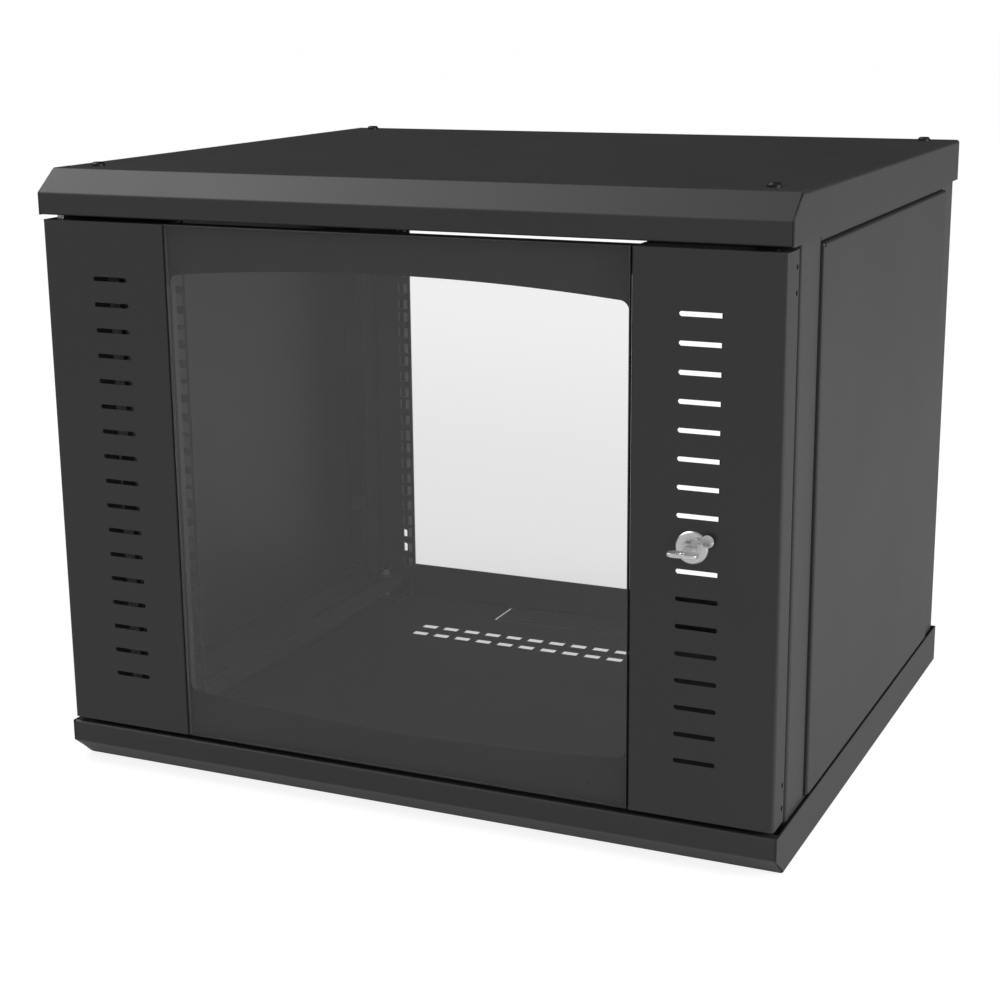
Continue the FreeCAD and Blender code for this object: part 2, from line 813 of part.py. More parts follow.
def glass_tape():
    """The bonding tape between the print and the crossbar."""
    y = glass_back + print_thickness
    high = door_top - crossbar_inset - door_bend - door_sheet
    low = high - crossbar_height + 2 * (door_bend + door_sheet)
    return box(-glass_x + crossbar_inset, glass_x - crossbar_inset, y, y + tape_thickness, low, high)


# --- Door pins and their plates -------------------------------------------

def hinge_plate_z():
    """The underside of the upper hinge plate."""
    return height - skirt_height + hinge_plate_lift


def hinge_screw_places():
    """The upper plate's two screws in the right-hand pillar's front."""
    z = hinge_plate_z() + hinge_screw_rise
    return [(hinge_plate_inner_x + hinge_screw_inset, z), (hinge_plate_outer_x - hinge_screw_inset, z)]


def top_hinge_plate():
    """The right-hand upper plate: a tongue over the door and a riser screwed
    to the pillar."""
    z = hinge_plate_z()
    tip = front + pin_y - pin_d / 2 - hinge_plate_reach
    path = [(tip, z), (pillar_front, z), (pillar_front, z + hinge_plate_riser)]
    plate = folded(path, hinge_plate, inner_bend, 1, "yz", hinge_plate_inner_x,
                   hinge_plate_outer_x - hinge_plate_inner_x)
    cuts = [rod(pin_x, front + pin_y, z - overcut, z + 2 * hinge_plate, pin_d + 2 * pin_run_gap)]
    cuts += [bar_along_y(x, screw_z, pillar_front - 2 * hinge_plate, pillar_front + overcut,
                         hinge_screw_d + 2 * thread_gap) for x, screw_z in hinge_screw_places()]
    return plate.cut(cuts)


def top_hinge_screws():
    """The right-hand upper plate's screws."""
    solids = []
    seat = pillar_front - hinge_plate
    for x, z in hinge_screw_places():
        head = bar_along_y(x, z, seat - hinge_screw_head_h, seat, hinge_screw_head_d)
        solids.append(fused([head, bar_along_y(x, z, seat, seat + hinge_screw_grip, hinge_screw_d)]))
    return solids


def bracket_top():
    return door_top - door_sheet - bracket_drop


def pin_bracket():
    """The right-hand upper pin bracket: a channel riveted inside the stile."""
    wall_x = door_x - door_sheet
    high = bracket_top()
    low = high - bracket_height
    path = [(high, wall_x - bracket_reach), (high, wall_x), (low, wall_x), (low, wall_x - bracket_reach)]
    y0 = front + pin_y - pin_d
    bracket = folded(path, bracket_plate, inner_bend, 1, "zx", y0, bracket_width)
    cuts = [rod(pin_x, front + pin_y, low - overcut, high + overcut, pin_d + 2 * pin_run_gap)]
    cuts += [bar_along_x(front + hinge_hole_y, z, wall_x - 2 * bracket_plate, wall_x + overcut, hinge_hole_d)
             for z in hinge_hole_heights()[:2]]
    return bracket.cut(cuts)


def bracket_rivets():
    """The right-hand upper bracket's rivets, flush with the stile outside."""
    solids = []
    for z in hinge_hole_heights()[:2]:
        y = front + hinge_hole_y
        inner = door_x - door_sheet - bracket_plate
        shank = bar_along_x(y, z, inner, door_x, hinge_hole_d - 2 * thread_gap)
        head = bar_along_x(y, z, inner - rivet_head_h, inner, rivet_head_d)
        solids.append(fused([shank, head]))
    return solids


def collar_z():
    """The top of the collar that the pin's spring lifts against the bracket."""
    return bracket_top() - bracket_plate - collar_gap


def top_pin():
    """The right-hand sprung pin, with its collar."""
    y = front + pin_y
    low = bracket_top() - bracket_height - pin_rise
    high = hinge_plate_z() + hinge_plate + pin_proud
    collar = rod(pin_x, y, collar_z() - pin_collar_h, collar_z(), pin_collar_d)
    return fused([rod(pin_x, y, low, high, pin_d), collar])


def pin_spring():
    """The spring under the right-hand pin's collar, as its outer sleeve."""
    y = front + pin_y
    low = bracket_top() - bracket_height + bracket_plate
    high = collar_z() - pin_collar_h
    return rod(pin_x, y, low, high, spring_d).cut(rod(pin_x, y, low, high, pin_d + 2 * spring_gap))


def bottom_pin():
    """The right-hand fixed pin, drawn at the door's top; it is mirrored to
    the foot. Two collars hold it in its bracket."""
    y = front + pin_y
    low = bracket_top() - bracket_height - pin_collar_h
    high = hinge_plate_z() + hinge_plate + pin_proud
    collars = [rod(pin_x, y, low, low + pin_collar_h, pin_collar_d),
               rod(pin_x, y, collar_z() - pin_collar_h, collar_z(), pin_collar_d)]
    return fused([rod(pin_x, y, low, high, pin_d)] + collars)


# --- Lock ----------------------------------------------------------------

def lock_body():
    """The lock's head and threaded barrel, bored for the plug."""
    head = bar_along_y(lock_x, lock_z, lock_face, front, lock_head_d)
    rim = [edge for edge in head.Edges if abs(edge.CenterOfMass.y - lock_face) < edge_near]
    head = head.makeChamfer(lock_head_bevel, rim)
    barrel = flatted_round(lock_body_d, lock_body_flats, front, front + lock_body_length)
    bore = bar_along_y(lock_x, lock_z, lock_face - overcut, front + lock_body_length + overcut,
                       plug_d + 2 * plug_gap)
    pivot_hole = bar_along_y(lock_x + cover_pivot[0], lock_z + cover_pivot[1], lock_face - overcut, front,
                             cover_rivet_d)
    return fused([head, barrel]).cut([bore, pivot_hole])


def lock_nut():
    """The nut behind the stile."""
    place = Vector(lock_x, front + door_sheet, lock_z)
    return hexagon_nut(place, lock_nut_flats, lock_nut_h, lock_body_d + 2 * thread_gap, Vector(0, 1, 0))


def lock_plug():
    """The plug with its keyway and the square tail that carries the cam."""
    back = front + lock_body_length
    barrel = bar_along_y(lock_x, lock_z, lock_face, back, plug_d)
    half = tail_square / 2
    tail = box(lock_x - half, lock_x + half, back, cam_y() + cam_plate, lock_z - half, lock_z + half)
    keyway = box(lock_x - keyway_width / 2, lock_x + keyway_width / 2, lock_face - overcut,
                 lock_face + keyway_depth, lock_z - keyway_height / 2, lock_z + keyway_height / 2)
    screw_hole = bar_along_y(lock_x, lock_z, cam_y() - cam_plate, cam_y() + cam_plate + overcut,
                            cam_screw_d)
    return fused([barrel, tail]).cut([keyway, screw_hole])


def cam_y():
    """The cam's front face."""
    return front + cam_face_y


def lock_cam():
    """The cam, lying level behind the stile when unlocked."""
    r = cam_width / 2
    y = cam_y()
    tip_x = lock_x - cam_length + r
    bar = box(tip_x, lock_x, y, y + cam_plate, lock_z - r, lock_z + r)
    ends = [bar_along_y(x, lock_z, y, y + cam_plate, cam_width) for x in (tip_x, lock_x)]
    half = tail_square / 2 + cam_square_gap
    hole = box(lock_x - half, lock_x + half, y - overcut, y + cam_plate + overcut,
               lock_z - half, lock_z + half)
    return fused([bar] + ends).cut(hole)


def cam_screw():
    """The screw that holds the cam on the tail."""
    seat = cam_y() + cam_plate
    head = bar_along_y(lock_x, lock_z, seat, seat + cam_screw_head_h, cam_screw_head_d)
    shank = bar_along_y(lock_x, lock_z, seat - 2 * cam_plate, seat, cam_screw_d - 2 * thread_gap)
    return fused([head, shank])


def door_key():
    """The key: a flat blade in the keyway and a rounded bow lying level."""
    blade_x = keyway_width / 2 - key_gap
    blade_z = keyway_height / 2 - key_gap
    neck = lock_face - key_neck
    blade = box(lock_x - blade_x, lock_x + blade_x, neck, lock_face + key_insert,
                lock_z - blade_z, lock_z + blade_z)
    bow = box(lock_x - key_bow_width / 2, lock_x + key_bow_width / 2, neck - key_bow_depth, neck,
              lock_z - key_bow_plate / 2, lock_z + key_bow_plate / 2)
    upright = [edge for edge in bow.Edges if edge.BoundBox.ZLength > key_bow_plate / 2]
    bow = bow.makeFillet(key_bow_round, upright)
    ring_hole = rod(lock_x, neck - key_bow_depth + key_ring_d, lock_z - key_bow_plate, lock_z + key_bow_plate,
                    key_ring_d)
    return fused([blade, bow]).cut(ring_hole)


def keyhole_cover():
    """The small swinging cover, turned aside from the keyhole."""
    px = lock_x + cover_pivot[0]
    pz = lock_z + cover_pivot[1]
    turn = math.radians(cover_open_deg)
    cx = px + cover_arm * math.cos(turn)
    cz = pz + cover_arm * math.sin(turn)
    y0 = lock_face - cover_gap - cover_plate
    y1 = lock_face - cover_gap
    disc = bar_along_y(cx, cz, y0, y1, 2 * cover_r)
    eye = bar_along_y(px, pz, y0, y1, cover_eye_d)
    arm = box(px, px + cover_arm, y0, y1, pz - cover_eye_d / 2, pz + cover_eye_d / 2)
    arm.rotate(Vector(px, y0, pz), Vector(0, -1, 0), cover_open_deg)
    hole = bar_along_y(px, pz, y0 - overcut, y1 + overcut, cover_rivet_d + 2 * pin_run_gap)
    return fused([disc, eye, arm]).cut(hole)


def cover_rivet():
    """The rivet that the keyhole cover turns on."""
    px = lock_x + cover_pivot[0]
    pz = lock_z + cover_pivot[1]
    head_y = lock_face - 2 * cover_gap - cover_plate
    shank = bar_along_y(px, pz, head_y, front, cover_rivet_d)
    head = bar_along_y(px, pz, head_y - cover_plate, head_y, cover_rivet_head_d)
    return fused([shank, head])


# --- Build ---------------------------------------------------------------

def build_cabinet():
    save("roof_panel", roof_panel())
    save("base_panel", base_panel())
    save_solids("frame_bolts_top", [top_bolt(x, y) for x, y in frame_bolt_places()])
    save_solids("frame_bolts_bottom", [bottom_bolt(x, y) for x, y in frame_bolt_places()])
    save_solids("frame_weld_nuts", weld_nuts())
    posts = {"front_pillar": front_pillar(), "rear_pillar": rear_pillar(),
             "top_member": side_member(True), "bottom_member": side_member(False)}
    for label, side in SIDES.items():
        for name, shape in posts.items():
            save(label + "_" + name, on_side(side, shape))


def build_rails():
    for place, front_rail in (("front", True), ("rear", False)):
        rail = rack_rail(front_rail)
        bolts = rail_bolt_set(front_rail)
        nuts = rail_nut_set(front_rail)
        for label, side in SIDES.items():
            name = place + "_" + label + "_rail"
            save(name, on_side(side, rail))
            save_solids(name + "_bolts", [on_side(side, bolt) for bolt in bolts])
            save_solids(name + "_nuts", [on_side(side, nut) for nut in nuts])


def build_side_panels():
    panel = side_panel()
    catches = panel_catches()
    for label, side in SIDES.items():
        save(label + "_side_panel", on_side(side, panel))
        save_solids(label + "_panel_catches", [on_side(side, catch) for catch in catches])


def build_door():
    save("door_left_stile", mirrored_x(door_stile(False)))
    save("door_right_stile", door_stile(True))
    save("door_glass", door_glass())
    for name, shape in (("glass_{}_print", printed_band()), ("glass_{}_tape", glass_tape()),
                        ("door_{}_crossbar", crossbar())):
        save(name.format("top"), shape)
        save(name.format("bottom"), mirrored_door(shape))


def build_hinges():
    bracket = mirrored_x(pin_bracket())
    rivets = [mirrored_x(rivet) for rivet in bracket_rivets()]
    plate = mirrored_x(top_hinge_plate())
    screws = [mirrored_x(screw) for screw in top_hinge_screws()]
    save("top_hinge_plate", plate)
    save("bottom_hinge_plate", mirrored_z(plate))
    save_solids("hinge_plate_screws", screws + [mirrored_z(screw) for screw in screws])
    save("top_pin_bracket", bracket)
    save("bottom_pin_bracket", mirrored_door(bracket))
    save_solids("pin_bracket_rivets", rivets + [mirrored_door(rivet) for rivet in rivets])
    save("top_hinge_pin", mirrored_x(top_pin()))
    save("top_pin_spring", mirrored_x(pin_spring()))
    save("bottom_hinge_pin", mirrored_door(mirrored_x(bottom_pin())))


def build_lock():
    save("lock_body", lock_body())
    save("lock_nut", lock_nut())
    save("lock_plug", lock_plug())
    save("lock_cam", lock_cam())
    save("cam_screw", cam_screw())
    save("door_key", door_key())
    save("keyhole_cover", keyhole_cover())
    save("keyhole_cover_rivet", cover_rivet())


os.makedirs("parts", exist_ok=True)
build_cabinet()
build_rails()
build_side_panels()
build_door()
build_hinges()
build_lock()
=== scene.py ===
"""Dressed model of a 9-unit wall mount network cabinet, in metres."""

import functools
import logging
import math
from dataclasses import dataclass

import bmesh
import bpy
import numpy as np
from mathutils import Matrix, Vector


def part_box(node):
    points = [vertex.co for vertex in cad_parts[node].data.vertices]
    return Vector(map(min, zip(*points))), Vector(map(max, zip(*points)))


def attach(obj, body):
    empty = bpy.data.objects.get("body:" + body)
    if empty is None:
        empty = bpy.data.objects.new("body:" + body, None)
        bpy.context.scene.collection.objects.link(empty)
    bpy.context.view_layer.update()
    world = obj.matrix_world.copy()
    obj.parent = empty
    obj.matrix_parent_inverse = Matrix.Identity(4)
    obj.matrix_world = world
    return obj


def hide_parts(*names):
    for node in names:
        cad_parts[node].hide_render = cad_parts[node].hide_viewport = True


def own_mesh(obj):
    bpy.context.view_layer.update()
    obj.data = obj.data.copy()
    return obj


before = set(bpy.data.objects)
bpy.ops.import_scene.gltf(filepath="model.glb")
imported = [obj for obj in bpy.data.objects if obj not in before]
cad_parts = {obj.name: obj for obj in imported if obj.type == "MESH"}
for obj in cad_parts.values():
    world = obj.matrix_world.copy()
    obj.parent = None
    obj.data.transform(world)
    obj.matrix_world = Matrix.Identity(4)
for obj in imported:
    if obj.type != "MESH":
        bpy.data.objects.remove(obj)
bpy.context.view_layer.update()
LOG = logging.getLogger("cabinet")

Colour = tuple[float, float, float]
Place = tuple[float, float, float]
Piece = bpy.types.Object
Tree = bpy.types.NodeTree
Node = bpy.types.Node
Socket = bpy.types.NodeSocket
Value = Socket | float

SIDES = ("left", "right")
ENDS = ("top", "bottom")
FULL_TURN = 2.0 * math.pi
UP = (0.0, 0.0, 1.0)


# --- Surfaces ---

MERGE_DISTANCE = 1e-7
FOLD_CREASE = 35.0
RELIEF_CREASE = 50.0
ROUND_CREASE = 60.0
WIRE_COLUMNS = 10
BEND_POINTS = 6
BEAD_COLUMNS = 12
BEAD_ROWS_TO_A_RADIUS = 4
BEAD_TIP = 0.995


def link_piece(name: str, data: bpy.types.ID) -> Piece:
    """Put a mesh, a lamp or a camera in the scene.

    Args:
        name: The object's name.
        data: What the object shows.

    Returns:
        The new object.
    """
    piece = bpy.data.objects.new(name, data)
    bpy.context.scene.collection.objects.link(piece)
    return piece


def grid_quads(
    rows: int, columns: int, wrap_rows: bool = False, wrap_columns: bool = False
) -> list[list[int]]:
    """Number the quads of a grid of points.

    Args:
        rows: How many points lie along the first parameter.
        columns: How many points lie along the second parameter.
        wrap_rows: Whether the last row joins the first.
        wrap_columns: Whether the last column joins the first.

    Returns:
        The four point numbers of each quad.
    """
    i, j = np.meshgrid(
        np.arange(rows if wrap_rows else rows - 1),
        np.arange(columns if wrap_columns else columns - 1),
        indexing="ij",
    )
    here, there = i.ravel() * columns, (i.ravel() + 1) % rows * columns
    left, right = j.ravel(), (j.ravel() + 1) % columns
    quads = np.stack([here + left, there + left, there + right, here + right], axis=1)
    return quads.tolist()


def skin(
    name: str, rings: np.ndarray, joined: bool = False, crease: float = FOLD_CREASE
) -> Piece:
    """Close a stack of rings into one skin, with its faces outwards.

    Args:
        name: The piece's name.
        rings: A (rows, columns, 3) array of places. Each row is a closed ring.
        joined: Whether the last ring meets the first. If not, a flat face closes each end.
        crease: The angle in degrees past which an edge is sharp.

    Returns:
        The new object.
    """
    rows, columns = rings.shape[:2]
    faces = grid_quads(rows, columns, wrap_rows=joined, wrap_columns=True)
    if not joined:
        faces += [list(range(columns)), list(range((rows - 1) * columns, rows * columns))]
    mesh = bpy.data.meshes.new(name)
    mesh.from_pydata(rings.reshape(-1, 3).tolist(), [], faces)
    work = bmesh.new()
    work.from_mesh(mesh)
    bmesh.ops.remove_doubles(work, verts=work.verts, dist=MERGE_DISTANCE)
    bmesh.ops.recalc_face_normals(work, faces=work.faces)
    work.to_mesh(mesh)
    work.free()
    mesh.polygons.foreach_set("use_smooth", [True] * len(mesh.polygons))
    mesh.set_sharp_from_angle(angle=math.radians(crease))
    mesh.update()
    return link_piece(name, mesh)


def places(x: np.ndarray | float, y: np.ndarray | float, z: np.ndarray | float) -> np.ndarray:
    """Join coordinates into places.

    Args:
        x: The first coordinates, an array or one number for all.
        y: The second coordinates.
        z: The third coordinates.

    Returns:
        An array of places, as large as the largest of the three.
    """
    return np.stack(np.broadcast_arrays(x, y, z), axis=-1)


def about(
    centre: Vector, axis: Vector, side: Vector, reach: np.ndarray, height: np.ndarray
) -> np.ndarray:
    """Set rings about an axis.

    A place is the centre, plus the height times the axis, plus the reach times (cosine of the
    angle along the side direction, plus sine along the direction across both).

    Args:
        centre: Where height nought lies.
        axis: The direction of the heights.
        side: The direction of angle nought, across the axis.
        reach: A (rows, columns) array of distances from the axis, in equal steps of a turn.
        height: One height for each row.

    Returns:
        A (rows, columns, 3) array of places.
    """
    way = np.array(axis.normalized())
    nought = np.array(side.normalized())
    other = np.cross(way, nought)
    angle = np.linspace(0.0, FULL_TURN, reach.shape[1], endpoint=False)
    return (
        np.array(centre)
        + height[:, None, None] * way
        + (reach * np.cos(angle))[..., None] * nought
        + (reach * np.sin(angle))[..., None] * other
    )


def squared(wave: np.ndarray, power: float) -> np.ndarray:
    """Square off a sine or a cosine: its sign, times its size to a power below one.

    Args:
        wave: The sine or cosine.
        power: The power. The smaller it is, the squarer the outline.

    Returns:
        The squared-off wave.
    """
    return np.sign(wave) * np.abs(wave) ** power


def thread_wave(height: np.ndarray, columns: int, pitch: float) -> np.ndarray:
    """The depth of a screw thread, from nought at the crest to one at the root.

    It is a triangle wave of (height over pitch, less angle over a whole turn), faded out over
    the first and last pitch.

    Args:
        height: The rows' heights, from nought.
        columns: How many angles make a turn.
        pitch: The height of one turn.

    Returns:
        A (rows, columns) array.
    """
    turn = np.arange(columns) / columns
    phase = (height[:, None] / pitch - turn) % 1.0
    fade = np.clip(np.minimum(height, height[-1] - height) / pitch, 0.0, 1.0)
    return (1.0 - np.abs(2.0 * phase - 1.0)) * fade[:, None]


def wire(name: str, path: np.ndarray, radius: float) -> Piece:
    """A round wire wound about the Z direction.

    Each point of the path carries a ring: the point, plus the radius times (cosine along the
    level direction across the path, plus sine along the direction across both).

    Args:
        name: The piece's name.
        path: An (n, 3) array of points.
        radius: The wire's radius.

    Returns:
        The new object.
    """
    along = np.gradient(path, axis=0)
    along /= np.linalg.norm(along, axis=1, keepdims=True)
    across = np.cross(along, UP)
    across /= np.linalg.norm(across, axis=1, keepdims=True)
    lift = np.cross(across, along)
    angle = np.linspace(0.0, FULL_TURN, WIRE_COLUMNS, endpoint=False)[None, :, None]
    spokes = np.cos(angle) * across[:, None, :] + np.sin(angle) * lift[:, None, :]
    return skin(name, path[:, None, :] + radius * spokes, crease=ROUND_CREASE)


def channel_outline(
    face: float, depth: float, low: float, high: float, sheet: float, bend: float
) -> np.ndarray:
    """The outline of a folded channel, open to the back.

    It runs along the outside of the lower flange, the web and the upper flange, and back along
    the inside. Each corner is a quarter turn: a centre plus a radius times (cosine, sine).

    Args:
        face: Where the web's front lies.
        depth: How far the flanges reach from there.
        low: The lower flange's underside.
        high: The upper flange's top.
        sheet: The thickness of the metal.
        bend: The inner radius of the bends.

    Returns:
        An (n, 2) array of (y, z) pairs.
    """
    outer = bend + sheet
    turn = np.linspace(0.0, math.pi / 2.0, BEND_POINTS)[:, None]
    under = np.array([[face + outer, low + outer]])
    over = np.array([[face + outer, high - outer]])
    tip = face + depth
    return np.vstack(
        [
            under + outer * np.hstack([-np.sin(turn), -np.cos(turn)]),
            over + outer * np.hstack([-np.cos(turn), np.sin(turn)]),
            [[tip, high], [tip, high - sheet]],
            over + bend * np.hstack([-np.sin(turn), np.cos(turn)]),
            under + bend * np.hstack([-np.cos(turn), -np.sin(turn)]),
            [[tip, low + sheet], [tip, low]],
        ]
    )


def bead(name: str, start: Vector, end: Vector, radius: float, ripple: float = 0.0) -> Piece:
    """A straight bead with round ends, smooth as a rolled edge or rippled as a weld.

    The radius at a distance from the nearer end is the root of (one less the square of how much
    of the radius is still to go), times one less the ripple by a cosine of the place along it.

    Args:
        name: The piece's name.
        start: The middle of one end.
        end: The middle of the other end.
        radius: The bead's radius.
        ripple: The ripples' share of the radius.

    Returns:
        The new object.
    """
    length = (end - start).length
    run = np.linspace(0.0, length, 3 + BEAD_ROWS_TO_A_RADIUS * int(length / radius))
    to_go = np.clip(1.0 - np.minimum(run, length - run) / radius, 0.0, BEAD_TIP)
    swell = 1.0 - ripple * (0.5 + 0.5 * np.cos(FULL_TURN * run / radius))
    reach = radius * np.sqrt(1.0 - to_go**2) * swell
    rings = about(
        start, end - start, Vector(UP), np.repeat(reach[:, None], BEAD_COLUMNS, axis=1), run
    )
    return skin(name, rings, crease=ROUND_CREASE)


# --- Shader nodes ---


@dataclass(frozen=True)
class Graph:
    """A node tree, with short ways to add to it.

    A value is a socket, which is linked, or a number or tuple, which is set on the input.
    """

    tree: Tree

    def add(self, kind: str, **values: object) -> Node:
        """Add a node and set its own properties.

        Args:
            kind: The node's type.
            **values: Properties of the node.

        Returns:
            The new node.
        """
        node = self.tree.nodes.new(kind)
        for name, value in values.items():
            setattr(node, name, value)
        return node

    def feed(self, value: Value | Colour, socket: Socket) -> None:
        """Link a value to an input, or set it there. A colour is set with full alpha.

        Args:
            value: A socket, a number, or the three numbers of a colour or a vector.
            socket: The input.
        """
        if isinstance(value, Socket):
            self.tree.links.new(value, socket)
        elif isinstance(value, tuple):
            socket.default_value = (*value, 1.0)[: len(socket.default_value)]
        else:
            socket.default_value = value

    def put(self, node: Node, *values: Value | Colour, **named: Value | Colour) -> None:
        """Feed a node's inputs.

        Args:
            node: The node.
            *values: What its first inputs take, in order.
            **named: What other inputs take. Underscores in the names stand for spaces.
        """
        for socket, value in zip(node.inputs, values):
            self.feed(value, socket)
        for name, value in named.items():
            self.feed(value, node.inputs[name.replace("_", " ")])

    def surface(self, **values: Value | Colour) -> None:
        """Feed the material's Principled shader.

        Args:
            **values: What each input takes.
        """
        self.put(self.tree.nodes["Principled BSDF"], **values)

    def place(self) -> Socket:
        """The place on the object, in its own coordinates.

        Returns:
            The socket that gives it.
        """
        return self.add("ShaderNodeTexCoord").outputs["Object"]

    def noise(self, where: Socket, scale: Value, detail: float, rough: float) -> Socket:
        """A noise texture of a place.

        Args:
            where: The socket that gives the place.
            scale: How many features there are to a metre.
            detail: How many octaves it has.
            rough: How strong the finer octaves are.

        Returns:
            The texture's value.
        """
        node = self.add("ShaderNodeTexNoise", noise_dimensions="3D")
        self.put(node, Scale=scale, Detail=detail, Roughness=rough, Vector=where)
        return node.outputs["Fac"]

    def maths(self, operation: str, *values: Value) -> Socket:
        """A sum of one to three values.

        Args:
            operation: The sum's kind.
            *values: The values.

        Returns:
            The result.
        """
        node = self.add("ShaderNodeMath", operation=operation)
        self.put(node, *values)
        return node.outputs[0]

    def agreement(self, first: Socket, second: Socket | Place) -> Socket:
        """How far two directions agree: their dot product.

        Args:
            first: The first direction.
            second: The second direction, a socket or three numbers.

        Returns:
            The result.
        """
        node = self.add("ShaderNodeVectorMath", operation="DOT_PRODUCT")
        self.put(node, first, second)
        return node.outputs["Value"]

    def along(self, axis: str, vector: Socket) -> Socket:
        """One coordinate of a vector.

        Args:
            axis: Which coordinate.
            vector: The vector.

        Returns:
            The result.
        """
        split = self.add("ShaderNodeSeparateXYZ")
        self.put(split, Vector=vector)
        return split.outputs[axis]

    def ramp(self, value: Socket, low: float, high: float) -> Socket:
        """Spread the stretch from low to high over nought to one, smoothly.

        Args:
            value: The socket to read.
            low: What becomes nought.
            high: What becomes one.

        Returns:
            The result.
        """
        node = self.add("ShaderNodeMapRange", interpolation_type="SMOOTHSTEP")
        self.put(node, From_Min=low, From_Max=high, Value=value)
        return node.outputs["Result"]

    def mix(self, share: Value, first: Socket | Colour, second: Socket | Colour) -> Socket:
        """Mix two colours.

        Args:
            share: The second colour's share.
            first: The first colour, a socket or three numbers.
            second: The second colour, a socket or three numbers.

        Returns:
            The result.
        """
        node = self.add("ShaderNodeMix", data_type="RGBA")
        factor, colour_a, colour_b, result = 0, 6, 7, 2
        for index, value in ((factor, share), (colour_a, first), (colour_b, second)):
            self.feed(value, node.inputs[index])
        return node.outputs[result]

    def show_mix(self, share: Value, second: Node) -> None:
        """Mix the Principled shader with another, and show the result on the surface.

        Args:
            share: The other shader's share.
            second: The other shader's node.
        """
        mix = self.add("ShaderNodeMixShader")
        first = self.tree.nodes["Principled BSDF"]
        self.put(mix, share, first.outputs[0], second.outputs[0])
        self.put(self.tree.nodes["Material Output"], Surface=mix.outputs[0])

    def bump(self, height: Socket, depth: float) -> None:
        """Feed a height to the Principled shader's normal.

        Args:
            height: The socket that gives the height.
            depth: What a height of one stands for, in metres.
        """
        node = self.add("ShaderNodeBump")
        self.put(node, Strength=1.0, Distance=depth, Height=height)
        self.surface(Normal=node.outputs["Normal"])

    def effect(self, group: Tree, **values: float) -> bpy.types.bpy_prop_collection:
        """Place a shared effect.

        Args:
            group: The effect's group.
            **values: The effect's inputs.

        Returns:
            The effect's outputs.
        """
        node = self.add("ShaderNodeGroup", node_tree=group)
        self.put(node, **values)
        return node.outputs


# --- Shared effects, each made once ---


def new_group(name: str, takes: dict[str, float], gives: tuple[str, ...]) -> tuple:
    """An empty shader group with its sockets, all of them floats.

    Args:
        name: The group's name.
        takes: The inputs and their defaults.
        gives: The outputs' names.

    Returns:
        The group's graph, the sockets that bring its inputs, and its output node.
    """
    tree = bpy.data.node_groups.new(name, "ShaderNodeTree")
    kind = "NodeSocketFloat"
    for label, value in takes.items():
        socket = tree.interface.new_socket(name=label, in_out="INPUT", socket_type=kind)
        socket.default_value = value
    for label in gives:
        tree.interface.new_socket(name=label, in_out="OUTPUT", socket_type=kind)
    source, target = tree.nodes.new("NodeGroupInput"), tree.nodes.new("NodeGroupOutput")
    return Graph(tree), source.outputs, target


@functools.cache
def coat_grain() -> Tree:
    """The powder coat's fine orange peel, as a height, and its slow drift in tone, as a value.

    Returns:
        The group.
    """
    takes = {"Size": 900.0, "Drift": 7.0}
    graph, source, target = new_group("coat_grain", takes, ("Height", "Tone"))
    place = graph.place()
    peel = graph.noise(place, source["Size"], detail=2.0, rough=0.45)
    specks = graph.noise(place, scale=3200.0, detail=1.0, rough=0.5)
    specks_share = 0.35
    height = graph.maths("ADD", peel, graph.maths("MULTIPLY", specks, specks_share))
    tone = graph.noise(place, source["Drift"], detail=3.0, rough=0.55)
    graph.put(target, Height=height, Tone=tone)
    return graph.tree


@functools.cache
def edge_wear_and_highlight() -> Tree:
    """Where the surface turns within a set radius, as a mask broken up by noise: rubbed edges and a
    painted edge highlight.

    Returns:
        The group.
    """
    takes = {"Radius": 0.0008, "Break": 260.0}
    graph, source, target = new_group("edge_wear_and_highlight", takes, ("Mask",))
    bevel = graph.add("ShaderNodeBevel", samples=4)
    graph.put(bevel, Radius=source["Radius"])
    plain = graph.add("ShaderNodeNewGeometry").outputs["Normal"]
    turn = graph.maths("SUBTRACT", 1.0, graph.agreement(bevel.outputs["Normal"], plain))
    broken = graph.noise(graph.place(), source["Break"], detail=3.0, rough=0.6)
    sharp = graph.ramp(turn, low=0.05, high=0.30)
    worn_and_lit = graph.ramp(broken, low=0.35, high=0.70)
    graph.put(target, Mask=graph.maths("MULTIPLY", sharp, worn_and_lit))
    return graph.tree


@functools.cache
def settled_dust() -> Tree:
    """Dust on faces that look up, as a mask broken up by noise.

    Returns:
        The group.
    """
    graph, source, target = new_group("settled_dust", {"Amount": 0.1}, ("Mask",))
    normal = graph.add("ShaderNodeNewGeometry").outputs["Normal"]
    level = graph.ramp(graph.along("Z", normal), low=0.75, high=0.98)
    clouds = graph.noise(graph.place(), scale=24.0, detail=5.0, rough=0.62)
    both = graph.maths("MULTIPLY", level, graph.ramp(clouds, low=0.38, high=0.78))
    graph.put(target, Mask=graph.maths("MULTIPLY", both, source["Amount"]))
    return graph.tree


@functools.cache
def brushed_lines() -> Tree:
    """Fine lines along Z, as a value about a half.

    Returns:
        The group.
    """
    graph, source, target = new_group("brushed_lines", {"Size": 1600.0}, ("Lines",))
    stretch = graph.add("ShaderNodeMapping", vector_type="POINT")
    graph.put(stretch, Scale=(1.0, 1.0, 0.04), Vector=graph.place())
    lines = graph.noise(stretch.outputs["Vector"], source["Size"], detail=2.0, rough=0.5)
    graph.put(target, Lines=lines)
    return graph.tree


# --- Finishes ---


